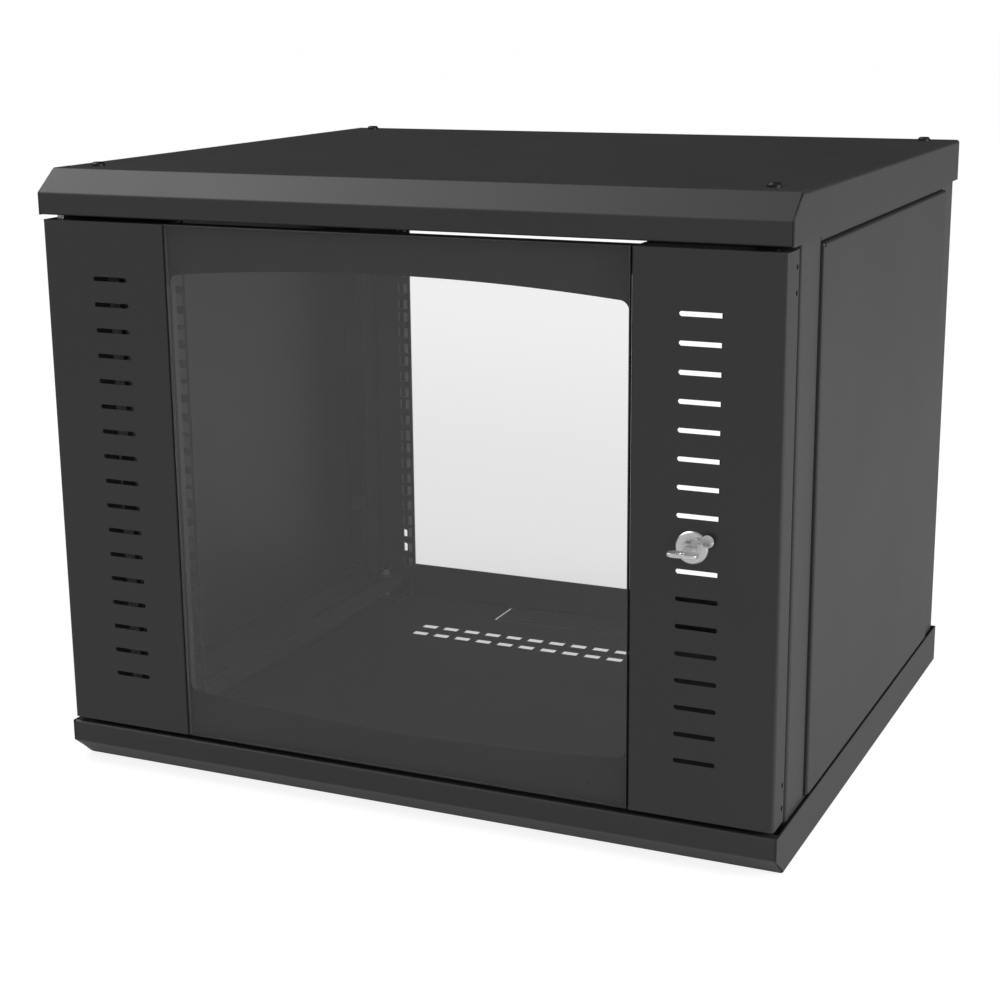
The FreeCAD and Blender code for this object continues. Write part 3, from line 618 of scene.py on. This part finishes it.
@dataclass(frozen=True)
class Finish:
    """A surface finish, made with one Principled shader."""

    name: str
    colour: Colour
    roughness: float
    metallic: float = 0.0
    specular: float = 0.5
    swing: float = 0.12

    def start(self) -> tuple[bpy.types.Material, Graph]:
        """A new material with its shader set to the plain values.

        Returns:
            The material and its graph.
        """
        material = bpy.data.materials.new(self.name)
        material.use_nodes = True
        graph = Graph(material.node_tree)
        graph.surface(Base_Color=self.colour, Roughness=self.roughness)
        graph.surface(Metallic=self.metallic, Specular_IOR_Level=self.specular)
        return material, graph

    @functools.cache
    def make(self) -> bpy.types.Material:
        """Build the material, once.

        Returns:
            The material.
        """
        material, graph = self.start()
        self.dress(graph)
        return material

    def dress(self, graph: Graph) -> None:
        """Add what varies over the surface. A plain finish only has a faint change of gloss.

        Args:
            graph: The material's graph.
        """
        self.swing_gloss(graph, graph.noise(graph.place(), scale=60.0, detail=4.0, rough=0.6))

    def swing_gloss(self, graph: Graph, wave: Socket) -> None:
        """Swing the roughness about its plain value.

        Args:
            graph: The material's graph.
            wave: The socket that swings between nought and one.
        """
        lowest = max(0.04, self.roughness - self.swing / 2.0)
        graph.surface(Roughness=graph.maths("MULTIPLY_ADD", wave, self.swing, lowest))

    def shade(self, factor: float) -> Colour:
        """The finish's colour, darker or lighter.

        Args:
            factor: What its numbers are multiplied by.

        Returns:
            The new colour.
        """
        return tuple(factor * number for number in self.colour)


@dataclass(frozen=True)
class PowderCoat(Finish):
    """Baked powder paint: orange peel, a slow drift in tone, rubbed edges with a painted edge
    highlight, and a little dust.
    """

    swing: float = 0.10
    wear_and_highlight: float = 0.25
    dust: float = 0.10
    peel: float = 0.000010
    grain_size: float = 1300.0
    darkest: float = 0.93
    lightest: float = 1.07
    # Edge colour: rubbed paint and a painted edge highlight.
    rubbed_and_highlight: Colour = (0.16, 0.16, 0.165)
    dusty: Colour = (0.32, 0.31, 0.29)

    def dress(self, graph: Graph) -> None:
        """Vary the tone and the gloss, lighten the edges as wear and a painted highlight, settle
        dust and raise the peel.

        Args:
            graph: The material's graph.
        """
        grain = graph.effect(coat_grain(), Size=self.grain_size)
        edges = graph.effect(edge_wear_and_highlight())
        dust = graph.effect(settled_dust(), Amount=self.dust)
        tone = graph.mix(grain["Tone"], self.shade(self.darkest), self.shade(self.lightest))
        # Edges lightened: partly rubbed wear, partly a painted edge highlight.
        worn_and_lit = graph.maths("MULTIPLY", edges["Mask"], self.wear_and_highlight)
        tone = graph.mix(worn_and_lit, tone, self.rubbed_and_highlight)
        graph.surface(Base_Color=graph.mix(dust["Mask"], tone, self.dusty))
        self.swing_gloss(graph, grain["Tone"])
        graph.bump(grain["Height"], self.peel)


@dataclass(frozen=True)
class Plated(Finish):
    """Plated or bright metal: fine lines, faint cloudiness and brighter edges, rubbed and with a
    painted highlight.
    """

    swing: float = 0.16
    lines: float = 0.00001
    darkest: float = 0.86
    wear_and_highlight: float = 0.6
    wear_and_highlight_radius: float = 0.0004
    # Edge colour: rubbed metal and a painted edge highlight.
    bright: Colour = (0.86, 0.87, 0.88)

    def dress(self, graph: Graph) -> None:
        """Cloud the colour and the gloss, brighten the edges as wear and a painted highlight, and
        raise fine lines.

        Args:
            graph: The material's graph.
        """
        clouds = graph.noise(graph.place(), scale=140.0, detail=4.0, rough=0.6)
        brush = graph.effect(brushed_lines())
        edges = graph.effect(edge_wear_and_highlight(), Radius=self.wear_and_highlight_radius)
        tone = graph.mix(clouds, self.shade(self.darkest), self.colour)
        # Edges brightened: partly rubbed wear, partly a painted edge highlight.
        worn_and_lit = graph.maths("MULTIPLY", edges["Mask"], self.wear_and_highlight)
        graph.surface(Base_Color=graph.mix(worn_and_lit, tone, self.bright))
        self.swing_gloss(graph, clouds)
        graph.bump(brush["Lines"], self.lines)


@dataclass(frozen=True)
class Pane(Finish):
    """Toughened glass, faintly grey, with a trace of smear in its gloss."""

    transmission: float = 1.0
    ior: float = 1.46
    smear: float = 0.03

    def dress(self, graph: Graph) -> None:
        """Smear the gloss and let light through. Shadows and scattered light pass straight on.

        Args:
            graph: The material's graph.
        """
        graph.surface(Transmission_Weight=self.transmission, IOR=self.ior)
        smears = graph.noise(graph.place(), scale=18.0, detail=5.0, rough=0.6)
        smears = graph.ramp(smears, low=0.45, high=0.95)
        graph.surface(Roughness=graph.maths("MULTIPLY", smears, self.smear))
        path = graph.add("ShaderNodeLightPath").outputs
        clear = graph.add("ShaderNodeBsdfTransparent")
        graph.put(clear, Color=self.colour)
        straight = graph.maths("MAXIMUM", path["Is Shadow Ray"], path["Is Diffuse Ray"])
        graph.show_mix(straight, clear)


@dataclass(frozen=True)
class Foam(Finish):
    """Closed-cell foam tape: soft, dull and finely pitted."""

    cells_to_a_metre: float = 1800.0
    pit_depth: float = 0.0002
    darkest: float = 0.6

    def dress(self, graph: Graph) -> None:
        """Pit the surface and vary its tone.

        Args:
            graph: The material's graph.
        """
        cells = graph.add("ShaderNodeTexVoronoi", feature="F1")
        graph.put(cells, Scale=self.cells_to_a_metre, Vector=graph.place())
        pits = cells.outputs["Distance"]
        graph.surface(Base_Color=graph.mix(pits, self.shade(self.darkest), self.colour))
        graph.bump(pits, self.pit_depth)


COAT = PowderCoat("satin_black_coat", (0.034, 0.034, 0.035), 0.48, dust=0.02)
# Painted light: a copy of the black coat for the frame and inside parts, set lighter than the outer
# coat to suit the light inside the cabinet.
INSIDE_COAT_PAINTED_LIGHT = PowderCoat(
    "frame_coat", (0.057, 0.057, 0.058), 0.54, specular=0.35, dust=0.02, peel=0.000005
)
RAIL_COAT = PowderCoat(
    "rail_coat", (0.045, 0.045, 0.046), 0.48, specular=0.4, wear_and_highlight=0.45, dust=0.02
)
OXIDE = Plated(
    "blackened_steel", (0.030, 0.030, 0.032), 0.42, metallic=0.6, bright=(0.20, 0.20, 0.21)
)
ZINC = Plated("zinc_plate", (0.60, 0.61, 0.63), 0.34, metallic=1.0)
SPRING = Plated(
    "spring_strip", (0.11, 0.11, 0.115), 0.40, metallic=0.8, bright=(0.30, 0.30, 0.31)
)
BRIGHT = Plated("bright_plate", (0.88, 0.885, 0.89), 0.26, metallic=0.80, swing=0.08)
POLISHED = Plated("polished_plate", (0.74, 0.75, 0.77), 0.16, metallic=1.0, swing=0.08)
NICKEL = Plated("nickel_plate", (0.90, 0.90, 0.88), 0.28, metallic=0.70, swing=0.12)
GLASS = Pane("float_glass", (0.985, 0.990, 0.987), 0.0)
# Painted light: the pane's edge tone is set lighter to offset the shade in the seam beside the
# stiles.
GROUND = Plated("ground_glass_edge", (0.040, 0.045, 0.043), 0.62, bright=(0.07, 0.08, 0.078))
ENAMEL = Finish("fired_print", (0.056, 0.056, 0.057), 0.30)
FOAM = Foam("bonding_foam", (0.030, 0.030, 0.031), 0.9)
PAPER = Finish("floor_paper", (0.86, 0.86, 0.86), 0.9, specular=0.0)


def dress_nodes(finish: Finish, *names: str) -> None:
    """Give CAD nodes their finish.

    Args:
        finish: The finish that covers all of each node.
        *names: The nodes' names.
    """
    for name in names:
        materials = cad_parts[name].data.materials
        materials.clear()
        materials.append(finish.make())
        LOG.info("%s: %s", name, finish.name)


def dress_piece(piece: Piece, finish: Finish, body: str) -> Piece:
    """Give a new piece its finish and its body.

    Args:
        piece: The new object.
        finish: The finish that covers all of it.
        body: The body that it rides on.

    Returns:
        The same object.
    """
    piece.data.materials.append(finish.make())
    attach(piece, body)
    LOG.info("%s on %s: %s", piece.name, body, finish.name)
    return piece


# --- The cabinet's sub-assemblies ---


@dataclass
class Body:
    """The trays, pillars and members that are bolted together."""

    trays: tuple[str, ...] = ("roof_panel", "base_panel")
    frame_parts: tuple[str, ...] = ("front_pillar", "rear_pillar", "top_member", "bottom_member")
    plates: tuple[str, ...] = ("top_hinge_plate", "bottom_hinge_plate")
    dark_bolts: tuple[str, ...] = ("frame_bolts_top", "frame_bolts_bottom")
    zinc_parts: tuple[str, ...] = ("frame_weld_nuts", "hinge_plate_screws")

    def build(self) -> None:
        """Dress the sheet metal and its fasteners."""
        dress_nodes(COAT, *self.trays)
        for side in SIDES:
            dress_nodes(INSIDE_COAT_PAINTED_LIGHT, *(f"{side}_{part}" for part in self.frame_parts))
        dress_nodes(INSIDE_COAT_PAINTED_LIGHT, *self.plates)
        dress_nodes(OXIDE, *self.dark_bolts)
        dress_nodes(ZINC, *self.zinc_parts)


@dataclass
class Rails:
    """The four rack rails and what clamps them."""

    rows: tuple[str, ...] = ("front", "rear")

    def build(self) -> None:
        """Dress each rail, its bolts and its nuts."""
        for row in self.rows:
            for side in SIDES:
                rail = f"{row}_{side}_rail"
                dress_nodes(RAIL_COAT, rail)
                dress_nodes(OXIDE, f"{rail}_bolts")
                dress_nodes(ZINC, f"{rail}_nuts")


@dataclass
class SidePanels:
    """The lift-off side panels."""

    relief: float = 0.0038
    skin_depth: float = 0.0004
    ripple: float = 0.08

    def build(self) -> None:
        """Dress both pans and their catches, and close the pans' corners."""
        for side in SIDES:
            dress_nodes(COAT, f"{side}_side_panel")
            dress_nodes(SPRING, f"{side}_panel_catches")
            self.corner_welds(side)

    def corner_welds(self, side: str) -> None:
        """Fill the relief between two flanges with a weld at each corner of a pan.

        Args:
            side: Which pan it is.
        """
        low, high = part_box(f"{side}_side_panel")
        half = self.relief / 2.0
        inner, outer = low.x, high.x - self.skin_depth
        if side == "left":
            inner, outer = high.x, low.x + self.skin_depth
        for level, z in (("lower", low.z + half), ("upper", high.z - half)):
            for end, y in (("front", low.y + half), ("rear", high.y - half)):
                name = f"{side}_panel_{level}_{end}_weld"
                run = Vector((inner, y, z)), Vector((outer, y, z))
                weld = bead(name, *run, half, self.ripple)
                dress_piece(weld, COAT, f"{side}_panel")


@dataclass
class Door:
    """The stiles, the pane with its printed bands, the channels behind it and the pins."""

    stiles: tuple[str, ...] = ("door_left_stile", "door_right_stile")
    brackets: tuple[str, ...] = ("top_pin_bracket", "bottom_pin_bracket")
    pins: tuple[str, ...] = ("pin_bracket_rivets", "bottom_hinge_pin", "top_hinge_pin")
    bevel: float = 0.0005
    sheet: float = 0.0015
    bend: float = 0.0012
    channel_depth: float = 0.011
    play: float = 0.0002
    band_margin: float = 0.001
    band_shoulder: float = 0.0083
    band_rise: float = 0.0091
    band_corner: float = 0.0065
    band_step: float = 0.0001
    corner_points: int = 10
    arch_points: int = 24
    hem: float = 0.001
    hem_rise: float = 0.0007
    spring_wire: float = 0.0006
    spring_turns: int = 8
    points_to_a_turn: int = 32
    even_pitch: float = 0.55
    pin_travel: float = 0.009

    def build(self) -> None:
        """Dress the door and make its pane, bands, channels, hems and spring."""
        dress_nodes(COAT, *self.stiles)
        dress_nodes(INSIDE_COAT_PAINTED_LIGHT, *self.brackets)
        self.pane()
        for end in ENDS:
            self.band(end)
            dress_nodes(FOAM, f"glass_{end}_tape")
        dress_nodes(ZINC, *self.pins)
        for end in ENDS:
            self.channel(end)
            self.hems(end)
        self.spring()

    def pane(self) -> None:
        """Make the pane: four rectangles in a stack, the outer two drawn in by the bevel.

        Its two faces are clear, and the edge and its bevels are ground dull.
        """
        low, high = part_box("door_glass")
        x = np.array([low.x, high.x, high.x, low.x])
        z = np.array([low.z, low.z, high.z, high.z])
        inward_x, inward_z = np.array([1, -1, -1, 1]), np.array([1, 1, -1, -1])
        depth = np.array([low.y, low.y + self.bevel, high.y - self.bevel, high.y])[:, None]
        inset = np.array([self.bevel, 0.0, 0.0, self.bevel])[:, None]
        rings = places(x + inward_x * inset, depth, z + inward_z * inset)
        pane = dress_piece(skin("door_pane", rings), GLASS, "door")
        pane.data.materials.append(GROUND.make())
        clear, ground = 0, 1
        edges = len(pane.data.polygons) - 2
        pane.data.polygons.foreach_set("material_index", [ground] * edges + [clear] * 2)
        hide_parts("door_glass")

    def band(self, end: str) -> None:
        """Make a printed band: a stack of upright rectangles that all end at the pane's edge.

        Over the window a rectangle starts at the height of the shoulder, plus the arc of the
        circle through both shoulders and the crown, less what the rounded corner takes: its
        radius times (one less the sine of the angle turned). Beside the window it runs down
        the whole band.

        Args:
            end: Which end of the pane it is at.
        """
        low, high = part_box(f"glass_{end}_print")
        half = high.x - self.band_margin
        turn = np.linspace(0.0, math.pi / 2.0, self.corner_points)
        corner = half - self.band_corner * (1.0 - np.cos(turn))
        arch = np.concatenate([corner, np.linspace(corner[-1], 0.0, self.arch_points)[1:]])
        radius = (half**2 + self.band_rise**2) / (2.0 * self.band_rise)
        height = self.band_shoulder + np.sqrt(radius**2 - arch**2) - radius + self.band_rise
        height[: len(turn)] -= self.band_corner * (1.0 - np.sin(turn))
        x = np.concatenate([[high.x, half + self.band_step], arch])
        height = np.concatenate([[0.0, 0.0], height])
        x, height = np.concatenate([x, -x[-2::-1]]), np.concatenate([height, height[-2::-1]])
        edge, far = (low.z + height, high.z) if end == "top" else (high.z - height, low.z)
        corners = ((low.y, edge), (high.y, edge), (high.y, far), (low.y, far))
        rings = np.stack([places(x, y, z) for y, z in corners], axis=1)
        band = dress_piece(skin(f"pane_{end}_band", rings), ENAMEL, "door")
        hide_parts(f"glass_{end}_print")

    def channel(self, end: str) -> None:
        """Fold the channel behind the pane's edge, with its outer flange level with the glass.

        Args:
            end: Which end of the door it is at.
        """
        low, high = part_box(f"door_{end}_crossbar")
        pane_low, pane_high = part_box("door_glass")
        bottom = low.z if end == "top" else pane_low.z + self.play
        top = high.z if end == "bottom" else pane_high.z - self.play
        outline = channel_outline(low.y, self.channel_depth, bottom, top, self.sheet, self.bend)
        rings = np.stack([places(x, outline[:, 0], outline[:, 1]) for x in (low.x, high.x)])
        bar = skin(f"door_{end}_channel", rings)
        dress_piece(bar, INSIDE_COAT_PAINTED_LIGHT, "door")
        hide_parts(f"door_{end}_crossbar")

    def hems(self, end: str) -> None:
        """Roll the rear edge of each stile's end plate.

        Args:
            end: Which end of the door they are at.
        """
        for name in self.stiles:
            low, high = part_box(name)
            y = high.y - self.hem - self.play
            z = low.z - self.hem_rise + self.hem
            if end == "top":
                z = high.z + self.hem_rise - self.hem
            run = [Vector((x, y, z)) for x in (low.x + self.sheet, high.x - self.sheet)]
            hem = bead(f"{name}_{end}_hem", *run, self.hem)
            dress_piece(hem, COAT, "door")

    def spring(self) -> None:
        """Wind the coil spring under the upper pin's collar, its end turns closed and level.

        The wire's middle turns at a constant radius. Its height rises evenly for a part of the
        way and by a smooth step for the rest, so the pitch is widest half way up.
        """
        low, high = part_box("top_pin_spring")
        centre = (low + high) / 2.0
        share = np.linspace(0.0, 1.0, self.points_to_a_turn * self.spring_turns + 1)
        smooth = share * share * (3.0 - 2.0 * share)
        rise = self.even_pitch * share + (1.0 - self.even_pitch) * smooth
        reach = (high.x - low.x) / 2.0 - self.spring_wire
        angle = FULL_TURN * self.spring_turns * share
        lowest = low.z + self.spring_wire
        path = places(
            centre.x + reach * np.cos(angle),
            centre.y + reach * np.sin(angle),
            lowest + (high.z - self.spring_wire - lowest) * rise,
        )
        coil = wire("pin_coil_spring", path, self.spring_wire)
        dress_piece(coil, SPRING, "door")
        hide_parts("top_pin_spring")
        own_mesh(coil)


@dataclass
class Lock:
    """The cam lock and its swinging cover.

    The groove is a row of (distance out from the bore, depth) pairs.
    """

    polished: tuple[str, ...] = ("lock_plug", "keyhole_cover", "keyhole_cover_rivet")
    zinc_parts: tuple[str, ...] = ("lock_nut", "lock_cam", "cam_screw")
    columns: int = 72
    bore: float = 0.00606
    groove: tuple[tuple[float, float], ...] = (
        (0.0, 0.0), (0.0004, 0.0), (0.0006, 0.0003), (0.0011, 0.0003), (0.0013, 0.0)
    )
    head_height: float = 0.0026
    head_bevel: float = 0.0008
    barrel: float = 0.0094
    barrel_flats: float = 0.0158
    thread_pitch: float = 0.001
    thread_depth: float = 0.0005
    rows_to_a_pitch: int = 8

    def build(self) -> None:
        """Dress the lock and make its body."""
        dress_nodes(POLISHED, *self.polished)
        dress_nodes(ZINC, *self.zinc_parts)
        self.body()

    def body(self) -> None:
        """Make the body: a bevelled head with a groove round the plug, on a threaded barrel.

        Its outline is a closed loop of (radius, height) pairs turned about the lock's axis. On
        the barrel the radius loses the thread's wave, and is cut to the flats where half the
        width across them, over the sine of the angle, is less.
        """
        low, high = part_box("lock_body")
        centre = Vector(((low.x + high.x) / 2.0, low.y, (low.z + high.z) / 2.0))
        head = (high.x - low.x) / 2.0
        length = high.y - low.y
        face = [(self.bore + out, depth) for out, depth in self.groove]
        face += [(head - self.head_bevel, 0.0), (head, self.head_bevel), (head, self.head_height)]
        threaded = length - self.head_height
        rows = self.rows_to_a_pitch * int(threaded / self.thread_pitch) + 1
        run = np.linspace(0.0, threaded, rows)
        wave = thread_wave(run, self.columns, self.thread_pitch)
        angle = np.linspace(0.0, FULL_TURN, self.columns, endpoint=False)
        flats = self.barrel_flats / 2.0 / np.maximum(np.abs(np.sin(angle)), 1e-6)
        cut = np.minimum(self.barrel - self.thread_depth * wave, flats)
        radii, heights = np.array(face).T
        front = np.repeat(radii[:, None], self.columns, axis=1)
        reach = np.vstack([front, cut, np.full((1, self.columns), self.bore)])
        height = np.concatenate([heights, self.head_height + run, [length]])
        rings = about(centre, Vector((0.0, 1.0, 0.0)), Vector((1.0, 0.0, 0.0)), reach, height)
        piece = skin("lock_threaded_body", rings, joined=True)
        dress_piece(piece, BRIGHT, "door")
        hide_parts("lock_body")


@dataclass
class Key:
    """The key: a flat bow with a ring hole, and a grooved blade.

    A cut is the pair (distance from the blade's tip, depth).
    """

    bow_depth: float = 0.0105
    bow_edge: float = 0.0007
    bow_power: float = 0.62
    bow_points: int = 64
    edge_points: int = 9
    ring_hole: float = 0.002
    hole_bevel: float = 0.0002
    overlap: float = 0.0004
    blade_width: float = 0.0080
    blade_thickness: float = 0.0020
    blade_power: float = 0.35
    blade_points: int = 48
    blade_rows: int = 181
    cuts: tuple[tuple[float, float], ...] = (
        (0.0050, 0.0012), (0.0078, 0.0006), (0.0106, 0.0015), (0.0134, 0.0009)
    )
    cut_slope: float = 0.0008
    cut_reach: float = 1.6
    taper: float = 0.0022
    tip_width: float = 0.35
    tip_thickness: float = 0.5
    groove_depth: float = 0.3
    groove_width: float = 0.0009

    def build(self) -> None:
        """Make the bow and the blade."""
        self.bow()
        self.blade()

    def bow(self) -> None:
        """Make the bow, a ring of rings.

        Each ring runs from the ring hole over the top, round the outer edge and back below,
        along the line from a point of the hole to the same point of a rounded oblong.
        """
        low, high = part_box("door_key")
        x, z = (low.x + high.x) / 2.0, (low.z + high.z) / 2.0
        half_width = (high.x - low.x) / 2.0
        half_depth = self.bow_depth / 2.0
        half_plate = (high.z - low.z) / 2.0
        angle = np.linspace(0.0, FULL_TURN, self.bow_points, endpoint=False)
        cosine, sine = np.cos(angle), np.sin(angle)
        outer_x = x + half_width * squared(cosine, self.bow_power)
        outer_y = low.y + half_depth + half_depth * squared(sine, self.bow_power)
        outer = np.column_stack([outer_x, outer_y])
        hole_x = x + self.ring_hole * cosine
        hole_y = low.y + 2.0 * self.ring_hole + self.ring_hole * sine
        hole = np.column_stack([hole_x, hole_y])
        inward = hole - outer
        inward /= np.linalg.norm(inward, axis=1, keepdims=True)
        edge = self.bow_edge
        top = [(hole, half_plate - self.hole_bevel), (hole - inward * self.hole_bevel, half_plate)]
        rim = []
        for turn in np.linspace(0.0, math.pi, self.edge_points):
            level = math.copysign(half_plate - edge, math.cos(turn)) + edge * math.cos(turn)
            rim.append((outer + inward * edge * (1.0 - math.sin(turn)), level))
        below = [(spots, -level) for spots, level in reversed(top)]
        rings = [places(spots[:, 0], spots[:, 1], z + level) for spots, level in top + rim + below]
        bow = skin("key_bow", np.stack(rings), joined=True, crease=RELIEF_CREASE)
        dress_piece(bow, NICKEL, "key")
        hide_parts("door_key")

    def blade(self) -> None:
        """Make the blade, a stack of near-oblong rings.

        The half width loses a flat-bottomed notch at each cut and tapers over the tip. The half
        thickness dips along the middle, by a bell curve of the distance across.
        """
        low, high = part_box("door_key")
        x, z = (low.x + high.x) / 2.0, (low.z + high.z) / 2.0
        start = low.y + self.bow_depth - self.overlap
        run = np.linspace(0.0, high.y - start, self.blade_rows)
        back = high.y - start - run
        notch = sum(
            depth * np.clip(self.cut_reach - np.abs(back - where) / self.cut_slope, 0.0, 1.0)
            for where, depth in self.cuts
        )
        grown = np.clip(back / self.taper, 0.0, 1.0)
        width = (self.blade_width / 2.0 - notch) * (self.tip_width + (1.0 - self.tip_width) * grown)
        angle = np.linspace(0.0, FULL_TURN, self.blade_points, endpoint=False)
        across = width[:, None] * squared(np.cos(angle), self.blade_power)
        tall = squared(np.sin(angle), self.blade_power)
        groove = 1.0 - self.groove_depth * np.exp(-((across / self.groove_width) ** 2))
        swell = self.tip_thickness + (1.0 - self.tip_thickness) * grown[:, None]
        thick = self.blade_thickness / 2.0 * swell * tall * groove
        rings = places(x + across, (start + run)[:, None], z + thick)
        blade = skin("key_blade", rings, crease=RELIEF_CREASE)
        dress_piece(blade, NICKEL, "key")


# --- Studio ---


@dataclass(frozen=True)
class Lamp:
    """A square soft lamp that looks at a point. Its power is in watts."""

    name: str
    place: Place
    size: float
    power: float
    aim: Place = (0.0, 0.0, 0.24)

    def build(self) -> None:
        """Hang the lamp and turn it to its aim."""
        data = bpy.data.lights.new(self.name, "AREA")
        data.shape = "SQUARE"
        data.size = self.size
        data.energy = self.power
        way = Vector(self.aim) - Vector(self.place)
        turn = way.to_track_quat("-Z", "Y").to_matrix().to_4x4()
        lamp = link_piece(self.name, data)
        lamp.matrix_world = Matrix.Translation(Vector(self.place)) @ turn


@dataclass
class Studio:
    """The floor, the lamps, the world and the camera."""

    eye: Place = (0.6440, -1.4805, 0.6066)
    heading: float = -0.4269
    pitch: float = -0.2529
    roll: float = -0.0093
    lens: float = 69.62
    sensor: float = 36.0
    view_end: float = 100.0
    floor_half: float = 30.0
    floor_level: float = -0.0004
    floor_points: int = 9
    sky_tone: Colour = (0.42, 0.42, 0.425)
    back_tone: Colour = (0.03, 0.03, 0.03)
    front_tone: Colour = (0.42, 0.42, 0.42)
    front_span: tuple[float, float] = (-0.2, 0.6)
    canopy_tone: Colour = (2.1, 2.1, 2.1)
    canopy_way: Place = (-0.68, -0.10, 0.73)
    canopy_span: tuple[float, float] = (0.80, 0.97)
    white: Colour = (1.0, 1.0, 1.0)
    glow_share: float = 0.60
    floor_glow: Colour = (1.42, 1.42, 1.42)
    mirrored_glow: Colour = (0.52, 0.52, 0.52)
    # Through glass the floor glows darker near the cabinet: a painted shadow of the cabinet on the
    # floor.
    glazed_painted_shadow: Colour = (0.93, 0.93, 0.93)
    glazed_far: Colour = (1.18, 1.18, 1.18)
    glazed_span: tuple[float, float] = (0.3, 2.3)
    lamps: tuple[Lamp, ...] = (
        Lamp("key", (3.4, -0.4, 1.2), 1.6, 76.0),
        Lamp("canopy", (-1.9, -0.5, 2.6), 1.2, 14.0),
    )

    def build(self) -> None:
        """Set up the whole studio."""
        self.camera()
        self.world()
        self.floor()
        for lamp in self.lamps:
            lamp.build()
        bpy.context.scene.view_settings.view_transform = "Standard"

    def camera(self) -> None:
        """Set the camera from its heading, pitch and roll."""
        level = math.cos(self.pitch)
        sine, cosine = math.sin(self.heading), math.cos(self.heading)
        ahead = Vector((sine * level, cosine * level, math.sin(self.pitch)))
        right = Vector((cosine, -sine, 0.0))
        up = right.cross(ahead)
        side = right * math.cos(self.roll) + up * math.sin(self.roll)
        top = up * math.cos(self.roll) - right * math.sin(self.roll)
        data = bpy.data.cameras.new("camera")
        data.lens = self.lens
        data.sensor_width = self.sensor
        data.clip_end = self.view_end
        turn = Matrix((side, top, -ahead)).transposed().to_4x4()
        camera = link_piece("camera", data)
        camera.matrix_world = Matrix.Translation(Vector(self.eye)) @ turn
        bpy.context.scene.camera = camera

    def world(self) -> None:
        """A soft even sky that looks white, lights plainly and shines from overhead."""
        world = bpy.data.worlds.new("world")
        world.use_nodes = True
        bpy.context.scene.world = world
        graph = Graph(world.node_tree)
        path = graph.add("ShaderNodeLightPath").outputs
        way = graph.add("ShaderNodeTexCoord").outputs["Generated"]
        forward = graph.maths("MULTIPLY", graph.along("Y", way), -1.0)
        walls = graph.mix(graph.ramp(forward, *self.front_span), self.back_tone, self.front_tone)
        near = graph.ramp(graph.agreement(way, self.canopy_way), *self.canopy_span)
        canopy = graph.mix(near, walls, self.canopy_tone)
        shine = graph.mix(path["Is Glossy Ray"], self.sky_tone, canopy)
        seen = graph.maths("MAXIMUM", path["Is Camera Ray"], path["Is Transmission Ray"])
        back = graph.tree.nodes["Background"]
        graph.put(back, Color=graph.mix(seen, shine, self.white), Strength=1.0)

    def floor(self) -> None:
        """A plain pale floor that looks white and keeps the object's shadow."""
        along = np.linspace(-self.floor_half, self.floor_half, self.floor_points)
        x, y = np.meshgrid(along, along, indexing="ij")
        points = places(x.ravel(), y.ravel(), self.floor_level)
        mesh = bpy.data.meshes.new("floor")
        quads = grid_quads(self.floor_points, self.floor_points)
        mesh.from_pydata(points.tolist(), [], quads)
        floor = link_piece("floor", mesh)
        material, graph = PAPER.start()
        path = graph.add("ShaderNodeLightPath").outputs
        glow = graph.add("ShaderNodeEmission")
        graph.put(glow, Color=self.floor_tone(graph, path))
        seen = graph.maths("MAXIMUM", path["Is Camera Ray"], path["Is Glossy Ray"])
        seen = graph.maths("MAXIMUM", seen, path["Is Transmission Ray"])
        graph.show_mix(graph.maths("MULTIPLY", seen, self.glow_share), glow)
        floor.data.materials.append(material)

    def floor_tone(self, graph: Graph, path: bpy.types.bpy_prop_collection) -> Socket:
        """The floor's glow: plain, dimmer in reflections, and through glass a painted shadow,
        darker near the cabinet and rising with distance.

        Args:
            graph: The floor's graph.
            path: The light path's outputs.

        Returns:
            The glow's colour.
        """
        away = graph.maths("ABSOLUTE", graph.along("Y", graph.place()))
        far = graph.ramp(away, *self.glazed_span)
        # Painted shadow: the floor seen through glass is darker near the cabinet.
        glazed = graph.mix(far, self.glazed_painted_shadow, self.glazed_far)
        tone = graph.mix(path["Is Glossy Ray"], self.floor_glow, self.mirrored_glow)
        return graph.mix(path["Is Transmission Ray"], tone, glazed)


def main() -> None:
    """Build the studio and the sub-assemblies in order."""
    logging.basicConfig(level=logging.INFO, format="%(message)s")
    for part in (Studio(), Body(), Rails(), SidePanels(), Door(), Lock(), Key()):
        part.build()


if __name__ == "__main__":
    main()
